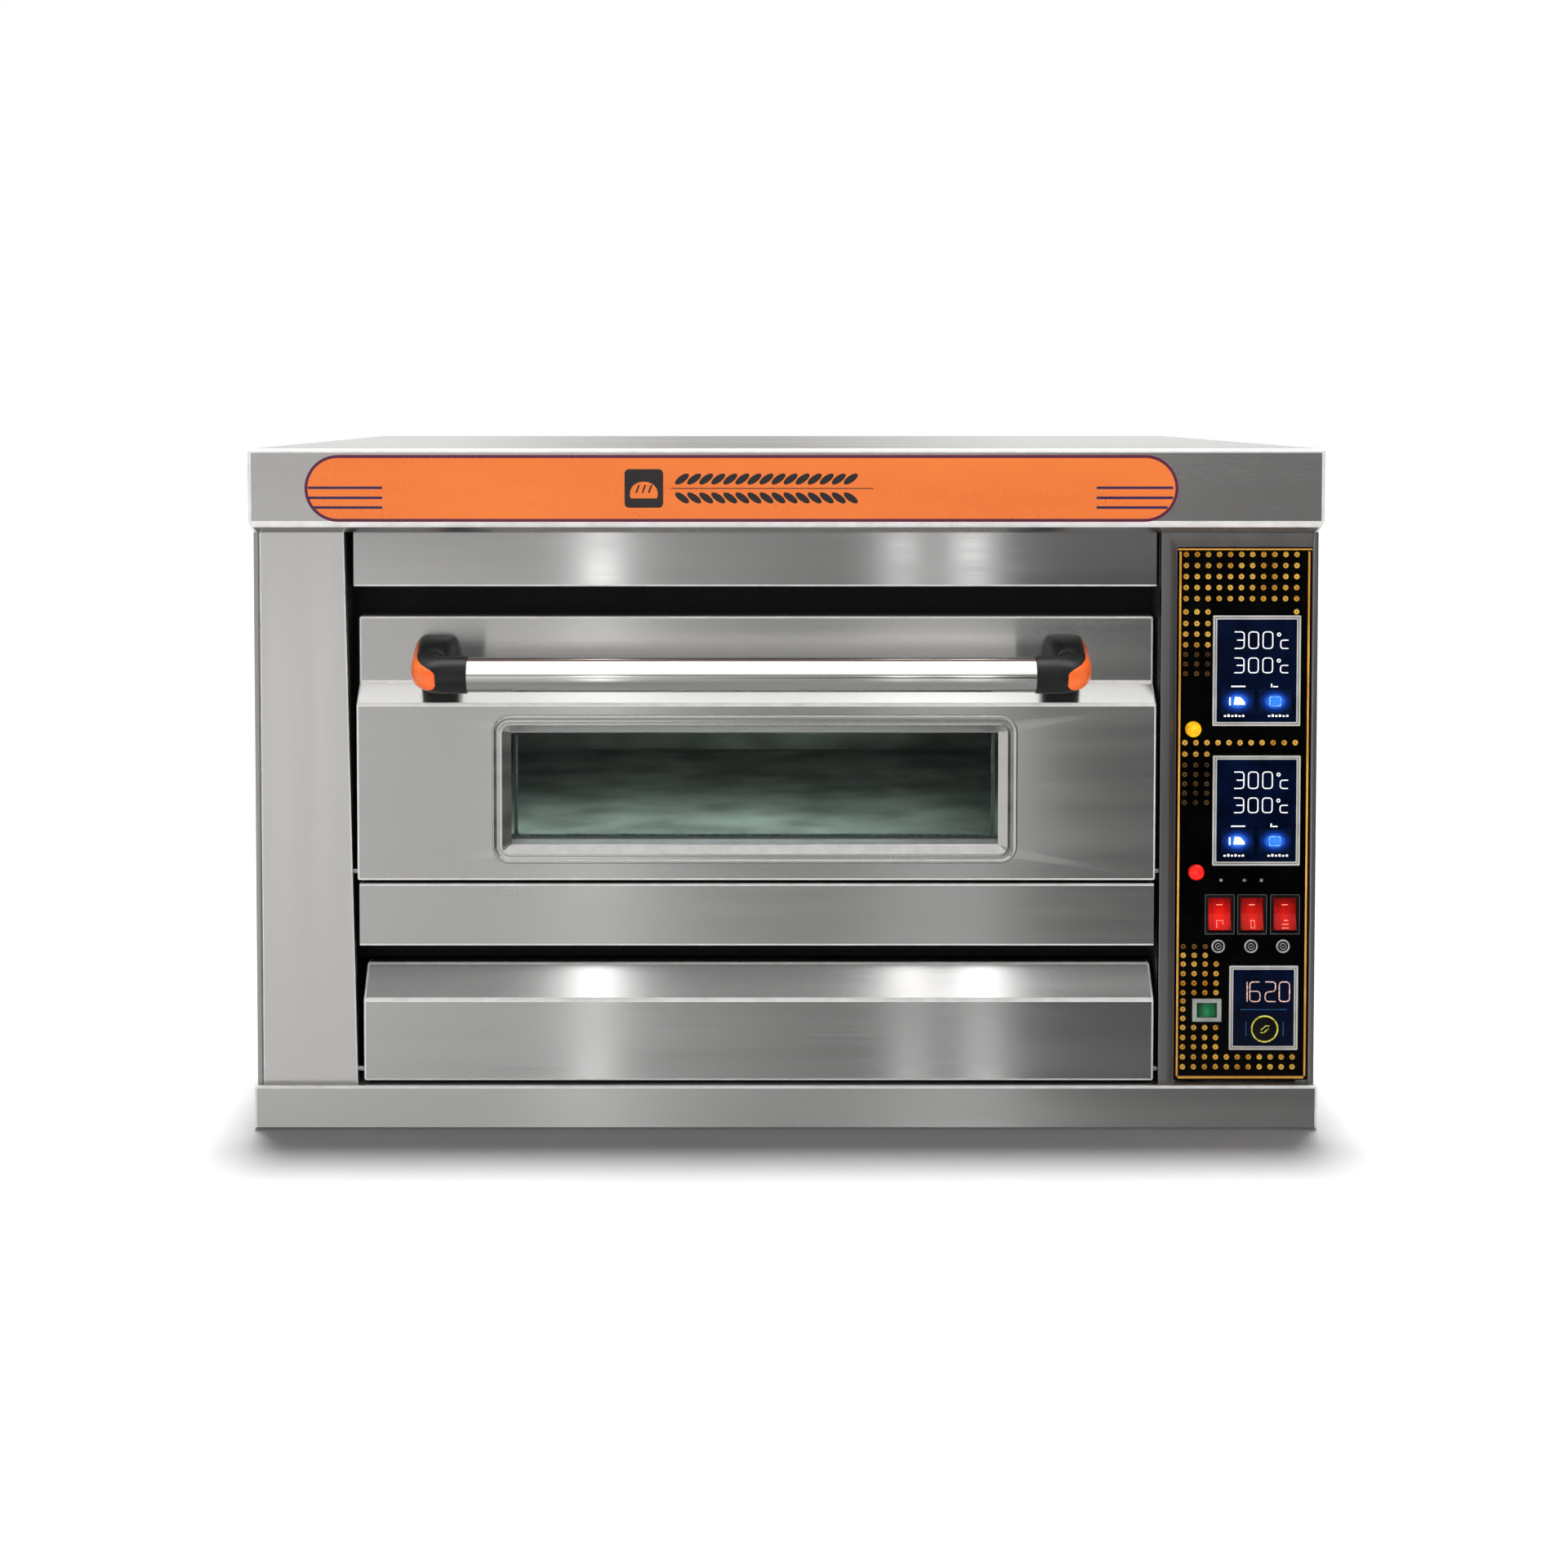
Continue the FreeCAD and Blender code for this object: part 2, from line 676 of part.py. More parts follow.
def make_flue():
    x = (chamber_middle - flue_box[0] / 2, chamber_middle + flue_box[0] / 2)
    y = (body_back - flue_box[1], body_back)
    z = (flue_z - flue_box[2] / 2, flue_z + flue_box[2] / 2)
    collector = tray(box(x, y, z), -ALONG_Y)
    start = (chamber_middle, body_back - sheet, flue_z)
    stub = rod(flue_radius, start, ALONG_Y, rear_end - body_back + sheet)
    bore = rod(flue_radius - flue_wall, start, ALONG_Y, rear_end - body_back + sheet)
    save("flue_duct", join([collector, stub]).cut(bore))


# ---------------------------------------------------------------- electrics
def make_ignition():
    """Spark modules on the partition, and an electrode beside the last burner of each row."""
    wall = right_edge + sheet
    wide, long, tall = ignition_box
    modules = []
    for up in ignition_heights:
        z = plinth_top + up
        modules.append(box((wall, wall + wide), (ignition_back, ignition_back + long), (z, z + tall)))
    rods = []
    hold_x, hold_y, hold_z = electrode_holder
    start = rail_front + holder_back
    for count, axis in ((lower_burners, lower_axis), (upper_burners, upper_axis)):
        x = burner_places(count)[-1] + burner_radius + electrode_gap
        floor = axis - burner_radius
        holder = box((x - hold_x / 2, x + hold_x / 2), (start, start + hold_y), (floor, floor + hold_z))
        tip = rod(electrode[0], (x, start + hold_y / 2, floor), ALONG_Z, electrode[1])
        rods.append(join([holder, tip]))
    save("igniters", *modules, *rods)


def make_power():
    """Power supply on the compartment's floor and terminal block on the partition."""
    wall = right_edge + sheet
    x = wall + power_box_place[0]
    y = power_box_place[1]
    supply = box((x, x + power_box[0]), (y, y + power_box[1]), (plinth_top, plinth_top + power_box[2]))
    wide, long, tall = terminal_block
    rear = body_back - terminal_rear
    z = (plinth_top + terminal_up, plinth_top + terminal_up + tall)
    block = box((wall, wall + wide), (rear - long, rear), z)
    count, pitch, slot_width, slot_depth = terminal_slots
    first, border = terminal_border
    slots = []
    for step in range(count):
        y = rear - long + first + step * pitch
        slot_x = (wall + wide - slot_depth, wall + wide)
        slots.append(box(slot_x, (y, y + slot_width), (z[0] + border, z[1] - border)))
    save("power_supply_and_terminals", supply, cut_all(block, slots))


def make_gland():
    x = riser_x + gland_aside
    outside = (x, body_back + sheet, inlet_z)
    inside = (x, body_back - gland_inside, inlet_z)
    nut = rod(gland_nut[0], outside, ALONG_Y, gland_nut[1])
    dome = rod(gland_dome[0], outside, ALONG_Y, gland_dome[1])
    inner = rod(gland_thread[0], inside, ALONG_Y, gland_thread[1])
    bore = rod(gland_bore, inside, ALONG_Y, gland_inside + sheet + gland_dome[1])
    save("cable_gland", join([nut, dome, inner]).cut(bore))


# ---------------------------------------------------------------- control panel
def on_panel(place):
    return (panel_left + place[0], panel_bottom + place[1])


def centred(place, size, y):
    """A block of the given width and height, centred on a place on the panel."""
    x, z = on_panel(place)
    return box((x - size[0] / 2, x + size[0] / 2), y, (z - size[1] / 2, z + size[1] / 2))


def on_axis(place, radius, y):
    x, z = on_panel(place)
    return rod(radius, (x, y[0], z), ALONG_Y, y[1] - y[0])


def grown(size, extra):
    return (size[0] + 2 * extra, size[1] + 2 * extra)


displays = [(place, controller_size) for place in controllers] + [(timer, timer_size)]
rockers = [(x, rocker_up) for x in rocker_row]
switches = [(place, rocker_opening) for place in rockers]
switches.append((green_switch, (green_opening[1], green_opening[0])))


def housing_size(size):
    return grown(size, housing_lap - bezel_width)


def panel_cutouts(y):
    tools = [centred(place, grown(housing_size(size), seat_gap), y) for place, size in displays]
    for place, size in switches:
        tools.append(centred(place, grown(size, switch_lap + seat_gap), y))
    for place in (yellow_lamp, red_lamp):
        tools.append(on_axis(place, lamp_stem[0] + seat_gap, y))
    tools += [on_axis((x, indicator_up), indicator_lens[0] + seat_gap, y) for x in indicator_row]
    tools += [on_axis((x, led_up), led_radius + seat_gap, y) for x in led_row]
    return tools


def make_control_column():
    z = (plinth_top, body_top)
    right = body_half - bend_width
    back = pocket_floor + sheet
    block = box((right_edge, right), (body_front, back), z)
    pocket_x = (right_edge + pocket_edge, right + 1)
    pocket_z = (plinth_top + sheet, panel_top + 2)
    pocket = box(pocket_x, (body_front, pocket_floor), pocket_z)
    relief_x = (right_edge, right_edge + pocket_edge - sheet)
    relief = box(relief_x, (body_front + sheet, back), z)
    column = cut_all(block, [pocket, relief] + panel_cutouts((body_front, back)))
    save("control_column", column)
    face = box((panel_left, panel_right), (panel_front, pocket_floor), (panel_bottom, panel_top))
    save("control_panel", cut_all(face, panel_cutouts((panel_front, pocket_floor))))


def make_displays():
    bezels, glasses, housings = [], [], []
    for place, size in displays:
        inner = grown(size, -bezel_width)
        y = (bezel_front, panel_front)
        bezels.append(centred(place, size, y).cut(centred(place, inner, y)))
        glass = centred(place, inner, (glass_front, panel_front))
        housing = centred(place, housing_size(size), (panel_front, panel_front + housing_depth))
        if place == timer:
            glass = glass.cut(on_axis(button, button_radius + button_gaps[0], (glass_front, panel_front)))
            well_y, guide_y = [(panel_front, panel_front + deep) for deep in button_well]
            well = on_axis(button, button_radius + button_gaps[1], well_y)
            guide = on_axis(button, button_stem[0] + button_gaps[2], guide_y)
            housing = cut_all(housing, [well, guide])
        glasses.append(glass)
        housings.append(housing)
    save("display_bezels", *bezels)
    save("display_glasses", *glasses)
    save("controller_housings", *housings)
    cap = on_axis(button, button_radius, (button_front, button_front + button_cap))
    stem_start = button_front + button_cap
    stem = on_axis(button, button_stem[0], (stem_start, stem_start + button_stem[1]))
    save("timer_button", join([cap, stem]))


def rocker(length, thickness):
    """A rocker about its own X axis, long along Z, its two faces meeting in a shallow V."""
    half = length / 2
    shoulder, foot = rocker_back
    end_y = -rocker_rise - half * math.tan(math.radians(rocker_tilt))
    profile = [
        (-rocker_rise, 0), (end_y, half), (-shoulder, half), (foot, half * 0.4),
        (foot, -half * 0.4), (-shoulder, -half), (end_y, -half),
    ]
    body = prism_x(profile, (-thickness / 2, thickness / 2))
    reach = thickness / 2 + rocker_gap + switch_wall
    trunnion = rod(trunnion_radius, (-reach, 0, 0), ALONG_X, 2 * reach)
    solid = join([body, trunnion])
    solid.rotate(Vector(0, 0, 0), ALONG_X, -rocker_tilt)
    return solid


def make_switches():
    housings = []
    for place, size in switches:
        y = (panel_front, panel_front + switch_depth)
        shell = centred(place, grown(size, switch_lap), y)
        hollow = centred(place, grown(size, switch_lap - switch_wall), (y[0], y[1] - switch_floor))
        x, z = on_panel(place)
        reach = max(size) / 2 + 5
        upright = size[1] > size[0]
        direction = ALONG_X if upright else ALONG_Z
        start = Vector(x, rocker_pivot, z) - direction * reach
        bore = Part.makeCylinder(trunnion_radius + pin_gap, 2 * reach, start, direction)
        housings.append(cut_all(shell, [hollow, bore]))
    save("switch_housings", *housings)
    y = (switch_front, panel_front)
    frames = [centred(place, rocker_bezel, y).cut(centred(place, rocker_opening, y)) for place in rockers]
    save("rocker_bezels", *frames)
    opening_size = (green_opening[1], green_opening[0])
    frame = centred(green_switch, green_bezel, y).cut(centred(green_switch, opening_size, y))
    save("green_switch_bezel", frame)
    for number, place in enumerate(rockers, start=1):
        piece = rocker(rocker_opening[1] - 2 * rocker_end_gap, rocker_opening[0] - 2 * rocker_gap)
        x, z = on_panel(place)
        save("red_rocker_%d" % number, piece.translated(Vector(x, rocker_pivot, z)))
    piece = rocker(green_opening[1] - 2 * green_end_gap, green_opening[0] - 2 * rocker_gap)
    piece.rotate(Vector(0, 0, 0), ALONG_Y, 90)
    x, z = on_panel(green_switch)
    save("green_rocker", piece.translated(Vector(x, rocker_pivot, z)))


def make_lamps():
    for name, place in (("yellow_pilot_lamp", yellow_lamp), ("red_pilot_lamp", red_lamp)):
        lens = on_axis(place, lamp_radius, (panel_front - lamp_height, panel_front))
        rim = [e for e in lens.Edges if e.BoundBox.YMax < panel_front - lamp_height + 0.01]
        lens = lens.makeFillet(lamp_height - lamp_rim, rim)
        stem = on_axis(place, lamp_stem[0], (panel_front, panel_front + lamp_stem[1]))
        save(name, join([lens, stem]))
    y = (panel_front - indicator_height, panel_front)
    rings = []
    lenses = []
    for x in indicator_row:
        place = (x, indicator_up)
        rings.append(on_axis(place, indicator_ring[0], y).cut(on_axis(place, indicator_ring[1], y)))
        radius, proud, behind = indicator_lens
        lenses.append(on_axis(place, radius, (y[0] - proud, panel_front + behind)))
    save("indicator_bezels", *rings)
    for x in led_row:
        lenses.append(on_axis((x, led_up), led_radius, (panel_front - led_lens[0], panel_front + led_lens[1])))
    save("indicator_lenses", *lenses)


# ---------------------------------------------------------------- door
door_x = span(door_margins)
window = (
    door_x[0] + window_margins[0], door_x[1] - window_margins[1],
    door_bottom + window_edges[0], door_bend - window_edges[1],
)
inner_glass_front = outer_glass_front + glass_thick + spacer_depth
spacer_back = inner_glass_front + glass_thick


def door_block(back):
    profile = [
        (door_front, door_bottom), (door_front, door_bend), (door_head_front, door_shelf),
        (door_head_front, door_top), (back, door_top), (back, door_bottom),
    ]
    return prism_x(profile, door_x)


def make_door_shell():
    solid = door_block(door_back)
    skin = tray(solid, ALONG_Y)
    inner_front = door_back - sheet
    cavity = solid.cut(skin)
    behind = box(door_x, (inner_front, door_back), (door_bottom, door_top))
    through = (door_front - 1, door_back + 1)
    window_hole = inset_block(window, collar_inset - seat_gap, through)
    save("door_outer_skin", skin.cut(window_hole))
    liner_hole = inset_block(window, glass_inset + spacer_width + 2, through)
    save("door_inner_skin", cavity.common(behind).cut(liner_hole))
    save("door_insulation", cavity.cut(behind).cut(window_hole))


def make_window():
    flange = inset_block(window, 0, (door_front - bead_height, door_front))
    groove_y = (door_front - bead_height, door_front - bead_height + groove_depth)
    groove = inset_block(window, bead_width, groove_y)
    groove = groove.cut(inset_block(window, bead_width + bead_groove, groove_y))
    collar = inset_block(window, collar_inset, (door_front, outer_glass_front))
    front_hole = inset_block(window, frame_flange, (door_front - bead_height, collar_front))
    sight = inset_block(window, frame_width, (collar_front, outer_glass_front))
    save("window_frame", cut_all(join([flange, collar]), [groove, front_hole, sight]))
    y = (outer_glass_front, outer_glass_front + glass_thick)
    save("outer_glass", inset_block(window, glass_inset, y))
    y = (inner_glass_front, spacer_back)
    save("inner_glass", inset_block(window, glass_inset, y))
    spacers = []
    for y in ((outer_glass_front + glass_thick, inner_glass_front), (spacer_back, door_back - sheet)):
        hole = inset_block(window, glass_inset + spacer_width, y)
        spacers.append(inset_block(window, glass_inset, y).cut(hole))
    save("glass_spacers", *spacers)


def make_handle():
    """Tube between two brackets; each has a base on the door, a neck and a socket with an end cap."""
    brackets, caps, sockets = [], [], []
    wide, tall = bracket_base
    under, over = bracket_neck
    outer_radius = tube_radius + socket_wall
    foot = door_shelf + bracket_base_up
    behind = tube_y + outer_radius + bracket_clear
    base_y = (door_head_front - bracket_base_thick, door_head_front)
    arm_profile = [
        (behind, tube_z - under), (door_head_front, foot),
        (door_head_front, foot + tall), (behind, tube_z + over),
    ]
    for x, inward in ((door_x[0] + handle_margins[0], 1), (door_x[1] - handle_margins[1], -1)):
        start = x + inward * (cap_length - bracket_side)
        far_side = x + inward * (wide - bracket_side)
        base = box(sorted((x, x + inward * wide)), base_y, (foot, foot + tall))
        arm = prism_x(arm_profile, sorted((x + inward * bracket_side, far_side)))
        neck = box(sorted((start, far_side)), (tube_y, behind), (tube_z - under, tube_z + over))
        place = (start, tube_y, tube_z)
        socket = rod(outer_radius, place, ALONG_X * inward, socket_length)
        bore_start = (start + inward * (socket_length - bore_depth), tube_y, tube_z)
        bore = rod(tube_radius + bore_gap, bore_start, ALONG_X * inward, bore_depth)
        brackets.append(join([base, arm, neck, socket]).cut(bore))
        cap = rod(outer_radius, place, ALONG_X * -inward, cap_length)
        tip = start - inward * cap_length
        rim = [e for e in cap.Edges if abs(e.BoundBox.XMin - tip) < 0.01 and e.BoundBox.XLength < 0.01]
        caps.append(cap.makeFillet(outer_radius * cap_round, rim))
        sockets.append(bore_start[0])
    save("handle_brackets", *brackets)
    save("handle_caps", *caps)
    start = (sockets[0], tube_y, tube_z)
    save("handle_tube", ring(tube_radius, tube_radius - tube_wall, start, ALONG_X, sockets[1] - sockets[0]))


def hinge_pins(x, place):
    """Two stub pins, from the ends of a door or flap out through the bushes."""
    left_end = left_edge - sheet - bush_size[0]
    right_end = right_edge + sheet + bush_size[0]
    left = rod(pin_radius, (left_end, *place), ALONG_X, x[0] - left_end)
    right = rod(pin_radius, (x[1], *place), ALONG_X, right_end - x[1])
    return left, right


def make_flap():
    x = span(flap_margins)
    profile = [
        (door_front, flap_bottom), (door_front, flap_bend), (flap_top_front, flap_top),
        (flap_back, flap_top), (flap_back, flap_bottom),
    ]
    save("burner_flap", tray(prism_x(profile, x), ALONG_Y), *hinge_pins(x, flap_pivot))


os.makedirs("parts", exist_ok=True)
make_base()
make_frame()
make_side_panels()
make_back_panel()
make_canopy()
make_fascia()
make_partitions()
make_chamber()
make_insulation()
make_chamber_fittings()
make_gas_supply(make_burners())
make_flue()
make_ignition()
make_power()
make_gland()
make_control_column()
make_displays()
make_switches()
make_lamps()
make_door_shell()
make_window()
make_handle()
save("door_pins", *hinge_pins(door_x, door_pivot))
make_flap()
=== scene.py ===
"""Looks of the deck oven: folded stainless sheet, glass window, handle, decal and control panel,
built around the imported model. Metres; lengths written in millimetres go through at()."""
import math
import bmesh
import bpy
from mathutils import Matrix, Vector


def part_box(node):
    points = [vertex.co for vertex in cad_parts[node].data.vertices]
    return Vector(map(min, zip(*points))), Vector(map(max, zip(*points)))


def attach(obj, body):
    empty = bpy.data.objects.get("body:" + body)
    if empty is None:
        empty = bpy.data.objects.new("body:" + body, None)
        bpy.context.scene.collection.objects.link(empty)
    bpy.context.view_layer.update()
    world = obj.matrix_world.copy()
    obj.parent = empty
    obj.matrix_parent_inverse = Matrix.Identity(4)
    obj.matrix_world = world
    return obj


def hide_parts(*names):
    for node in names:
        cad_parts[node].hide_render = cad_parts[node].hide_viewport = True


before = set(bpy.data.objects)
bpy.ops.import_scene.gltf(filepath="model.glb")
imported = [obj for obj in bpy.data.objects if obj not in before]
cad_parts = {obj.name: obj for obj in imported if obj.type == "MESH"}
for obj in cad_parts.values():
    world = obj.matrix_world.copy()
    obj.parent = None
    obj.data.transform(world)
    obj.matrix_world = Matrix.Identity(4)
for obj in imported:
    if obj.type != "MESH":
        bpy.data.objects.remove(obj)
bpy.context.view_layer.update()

MM = 0.001
scene = bpy.context.scene
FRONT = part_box("canopy")[0].y   # the canopy's front face
SHEET = 1.5                     # stainless sheet of the canopy, plinth, door and flap
THIN_SHEET = 1.2                # stainless sheet of the panels
SHARP_BEND = 0.25               # radians; a fold sharper than this is rounded
CORNERS = ((-1, -1), (1, -1), (1, 1), (-1, 1))


# ---------------------------------------------------------------- places
def at(x, y, z):
    """Millimetres across, back from the canopy's front and up, as a place in the frame."""
    return Vector((x * MM, y * MM + FRONT, z * MM))


def extent(node):
    """A node's box in those millimetres: x, y and z, each as a pair."""
    low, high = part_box(node)
    return (
        (low.x / MM, high.x / MM),
        ((low.y - FRONT) / MM, (high.y - FRONT) / MM),
        (low.z / MM, high.z / MM),
    )


def level(points, y):
    """(x, z) points as places at a depth y."""
    return [at(x, y, z) for x, z in points]


# ---------------------------------------------------------------- node trees
def colour(code):
    """An sRGB hex colour as linear red, green, blue and alpha."""
    parts = [int(code[i:i + 2], 16) / 255 for i in (1, 3, 5)]
    return tuple(p / 12.92 if p <= 0.04045 else ((p + 0.055) / 1.055) ** 2.4 for p in parts) + (1.0,)


def add(tree, kind, inputs=None, **settings):
    """A node with its settings; inputs gives each socket a value or another node's output."""
    node = tree.nodes.new(kind)
    for name, value in settings.items():
        setattr(node, name, value)
    for name, value in (inputs or {}).items():
        if isinstance(value, bpy.types.NodeSocket):
            tree.links.new(value, node.inputs[name])
        else:
            node.inputs[name].default_value = value
    return node


def set_stops(ramp, places):
    """Gives a ramp its stops, each a position and a colour."""
    stops = ramp.color_ramp.elements
    while len(stops) < len(places):
        stops.new(0.5)
    for stop, (position, shade) in zip(stops, places):
        stop.position, stop.color = position, shade


def finish(name, base, **constants):
    """A material whose shader's own sockets hold its constants; returns it, its tree and shader."""
    material = bpy.data.materials.new(name)
    material.use_nodes = True
    tree = material.node_tree
    shader = tree.nodes["Principled BSDF"]
    shader.inputs["Base Color"].default_value = colour(base)
    for socket, value in constants.items():
        shader.inputs[socket.replace("_", " ")].default_value = value
    material.diffuse_color = colour(base)
    return material, tree, shader


# ---------------------------------------------------------------- finishes
def textured(name, dark, light, skin_mm, cloud_mm, gloss=(0.3, 0.4), depth_mm=0.03, bump=0.25, share=0.0,
             spread=(0.35, 0.65), skin="ShaderNodeTexNoise", glow=None, **constants):
    """A finish of a fine skin and wider clouds, both measured on the piece in millimetres along x, y
    and z. Tone and gloss change with the clouds and a share of the skin, and the skin stands in
    relief; glow is the colour of the light behind a lit part."""
    material, tree, shader = finish(name, light, **constants)
    place = add(tree, "ShaderNodeTexCoord")
    near = add(tree, "ShaderNodeMapping", {
        "Vector": place.outputs["Object"], "Scale": [1000.0 / s for s in skin_mm]})
    fine = add(tree, skin, {"Vector": near.outputs[0], "Scale": 1.0})
    wide = add(tree, "ShaderNodeMapping", {
        "Vector": place.outputs["Object"], "Scale": [1000.0 / s for s in cloud_mm]})
    clouds = add(tree, "ShaderNodeTexNoise", {"Vector": wide.outputs[0], "Scale": 1.0, "Detail": 3.0})
    both = add(tree, "ShaderNodeMix", {0: share, 2: clouds.outputs[0], 3: fine.outputs[0]})
    even = add(tree, "ShaderNodeMapRange", {
        "Value": both.outputs[0], "From Min": spread[0], "From Max": spread[1]})
    tone = add(tree, "ShaderNodeMix", {0: even.outputs[0], 6: colour(dark), 7: colour(light)},
               data_type="RGBA")
    rough = add(tree, "ShaderNodeMapRange",
                {"Value": even.outputs[0], "To Min": gloss[0], "To Max": gloss[1]})
    tree.links.new(tone.outputs[2], shader.inputs["Base Color"])
    tree.links.new(rough.outputs[0], shader.inputs["Roughness"])
    if glow:
        shine = add(tree, "ShaderNodeMix", {0: even.outputs[0], 6: colour(dark), 7: colour(glow)},
                    data_type="RGBA")
        tree.links.new(shine.outputs[2], shader.inputs["Emission Color"])
    if depth_mm:
        raised = add(tree, "ShaderNodeBump", {
            "Height": fine.outputs[0], "Distance": depth_mm * MM, "Strength": bump})
        tree.links.new(raised.outputs[0], shader.inputs["Normal"])
    return material


def brushed_steel(name, dark, light, along="x", gloss=(0.26, 0.28), one_way=0.8):
    """Belt-brushed stainless sheet: fine lines one way, slow cloudiness from rolling, reflections
    drawn out across the lines. The lines are 1.6 mm apart, coarser than the real 0.1 mm, so that
    they show."""
    grain = {"x": (240.0, 1.6, 1.6), "z": (1.6, 1.6, 240.0)}[along]
    clouds = {"x": (420.0, 60.0, 26.0), "z": (26.0, 60.0, 420.0)}[along]
    material = textured(name, dark, light, grain, clouds, gloss, 0.005, 0.05, 0.3, Metallic=1.0,
                        Anisotropic=one_way, Anisotropic_Rotation=0.0 if along == "z" else 0.25)
    tree = material.node_tree
    across = add(tree, "ShaderNodeVectorTransform", {"Vector": (1.0, 0.02, 0.0)}, vector_type="VECTOR",
                convert_from="OBJECT", convert_to="WORLD")
    tree.links.new(across.outputs[0], tree.nodes["Principled BSDF"].inputs["Tangent"])
    return material


def enamel(name, dark, light, gloss=(0.28, 0.4), skin_mm=0.9, **constants):
    """Moulded plastic, enamel or rubber: even colour, a fine matt skin, faint clouds in the gloss."""
    return textured(name, dark, light, (skin_mm,) * 3, (26.0,) * 3, gloss, **constants)


def plain_metal(name, dark, light, gloss=(0.4, 0.6), skin_mm=1.2, metallic=1.0):
    """Plated, cast or drawn metal: a fine skin, and wear in patches some 20 times wider."""
    return textured(name, dark, light, (skin_mm,) * 3, (skin_mm * 22,) * 3, gloss, 0.05, 0.3,
                    Metallic=metallic)


def ink(name, dark, light):
    """Screen-printed vinyl: even ink with a faint orange-peel gloss 3 mm across."""
    return textured(name, dark, light, (3.0,) * 3, (240.0, 60.0, 60.0), (0.24, 0.36), 0.03, 0.3, 0.2)


def lit(name, dark, light, glow, power, size_mm=9.0):
    """Coloured polycarbonate over a lamp: glossy, with the uneven light of a prismatic inside."""
    return textured(name, dark, light, (size_mm,) * 3, (size_mm,) * 3, (0.14, 0.18), 0.0, glow=glow,
                    Emission_Strength=power)


# folded stainless sheet: grey with a soft pale sheen; one steel in lighter and darker copies, whose base
# tones paint in the light and shade each face shows
steel_canopy = brushed_steel("Brushed_stainless_canopy", "#cdcbc9", "#d3d1cf", one_way=0.7)
steel_front = brushed_steel("Brushed_stainless_front", "#c4c3c1", "#c9c8c6", gloss=(0.2, 0.25),
                            one_way=0.9)
steel_smooth = brushed_steel("Brushed_stainless_fine", "#bcbbba", "#c3c2c1", gloss=(0.13, 0.17),
                             one_way=0.95)
steel_upright = brushed_steel("Brushed_stainless_upright", "#dedcda", "#e4e2e0", "z", (0.28, 0.34), 0.6)
# painted shade: the darkest copy of the stainless, for the column and the right panel's front fold
steel_column_painted_shade = brushed_steel("Brushed_stainless_column_painted_shade", "#94918f", "#9d9a98", "z", (0.3, 0.38), 0.6)
steel_sides = brushed_steel("Brushed_stainless_sides", "#b9b8b6", "#c3c1bf", "z", (0.34, 0.42), 0.5)
steel_rear = brushed_steel("Mill_finish_stainless", "#a9a8a6", "#b6b5b3", "x", (0.4, 0.5), 0.3)
steel_frame = brushed_steel("Bright_drawn_stainless", "#cdccca", "#d9d7d5", gloss=(0.16, 0.22),
                            one_way=0.2)
# painted highlight: the outside of a press-brake bend, painted pale as the bright line it shows
bend_painted_highlight = plain_metal("Painted_highlight_bend", "#e9e7e4", "#f8f6f4", (0.4, 0.48), 0.8, 0.3)
# stainless liner after many bakes: straw and bronze tints in slow clouds, faint rolling lines
liner_steel = textured("Heat_tinted_stainless", "#5f5850", "#a09a92", (3.0, 180.0, 3.0),
                       (160.0, 220.0, 90.0), (0.5, 0.36), 0.04, Metallic=1.0)
# hot-dip aluminised sheet: pale and matt with 6 mm spangles
inner_steel = textured("Aluminised_sheet", "#8e9091", "#b6b8b8", (6.0,) * 3, (80.0,) * 3, (0.52, 0.38),
                       0.01, share=0.8, skin="ShaderNodeTexVoronoi", Metallic=1.0)
# belt-polished tube: a mirror with faint lines along it
tube_steel = textured("Polished_stainless_tube", "#d3d2cf", "#e2e1de", (300.0, 1.6, 1.6),
                      (300.0, 9.0, 9.0), (0.06, 0.12), 0.01, 0.15, 0.5, Metallic=1.0)
# controls and handle ends: blacks that stay deep, greys of the frames, an orange cap with a clear skin
black_nylon = enamel("Black_nylon", "#0b0b0c", "#161718", (0.3, 0.42))
orange_abs = enamel("Orange_ABS", "#f96520", "#ff752c", (0.2, 0.28), Coat_Weight=0.3)
black_enamel = enamel("Black_gloss_acrylic", "#010101", "#020202", (0.1, 0.18), 3.0,
                      Specular_IOR_Level=0.15)
black_abs = enamel("Black_ABS", "#040405", "#0a0a0b", (0.22, 0.34), Specular_IOR_Level=0.3)
# painted shade: near black on the chamber front frame, so the slot over the door reads dark
black_slot_painted_shade = enamel("Black_slot_painted_shade", "#030303", "#070707", (0.5, 0.62), 2.0,
                           Specular_IOR_Level=0.2)
pale_abs = enamel("Pale_grey_ABS", "#b5b3ae", "#cac8c2", (0.3, 0.4))
switch_grey_abs = enamel("Light_grey_ABS", "#8f948f", "#a4a9a4", (0.3, 0.4))
groove_abs = enamel("Mid_grey_ABS", "#5c5a5f", "#6e6c70", (0.4, 0.5))
grey_abs = enamel("Grey_ABS", "#55575a", "#6a6c6f", (0.4, 0.5))
rubber = enamel("Black_rubber", "#101011", "#1b1b1c", (0.7, 0.85), 1.6)
ceramic = enamel("White_ceramic", "#d9d6cd", "#eeebe3", (0.3, 0.5), 1.2)
# display glass: near black with a navy body, smoother than the panel round it
display_lens = enamel("Navy_display_glass", "#02081a", "#040f2c", (0.05, 0.1), 4.0,
                      Specular_IOR_Level=0.2)
indicator_glass = enamel("Smoked_indicator_lens", "#140607", "#2a0d0f", (0.08, 0.14), 2.0)
# printed film and inks
orange_film = ink("Orange_vinyl_film", "#ea732d", "#f27f36")
maroon_ink = ink("Maroon_ink", "#4c1638", "#5e1c40")
navy_ink = ink("Navy_ink", "#1b1748", "#2a2258")
black_ink = ink("Black_ink", "#1c1416", "#262022")
gold_ink = ink("Gold_ink", "#c9892c", "#f0b050")
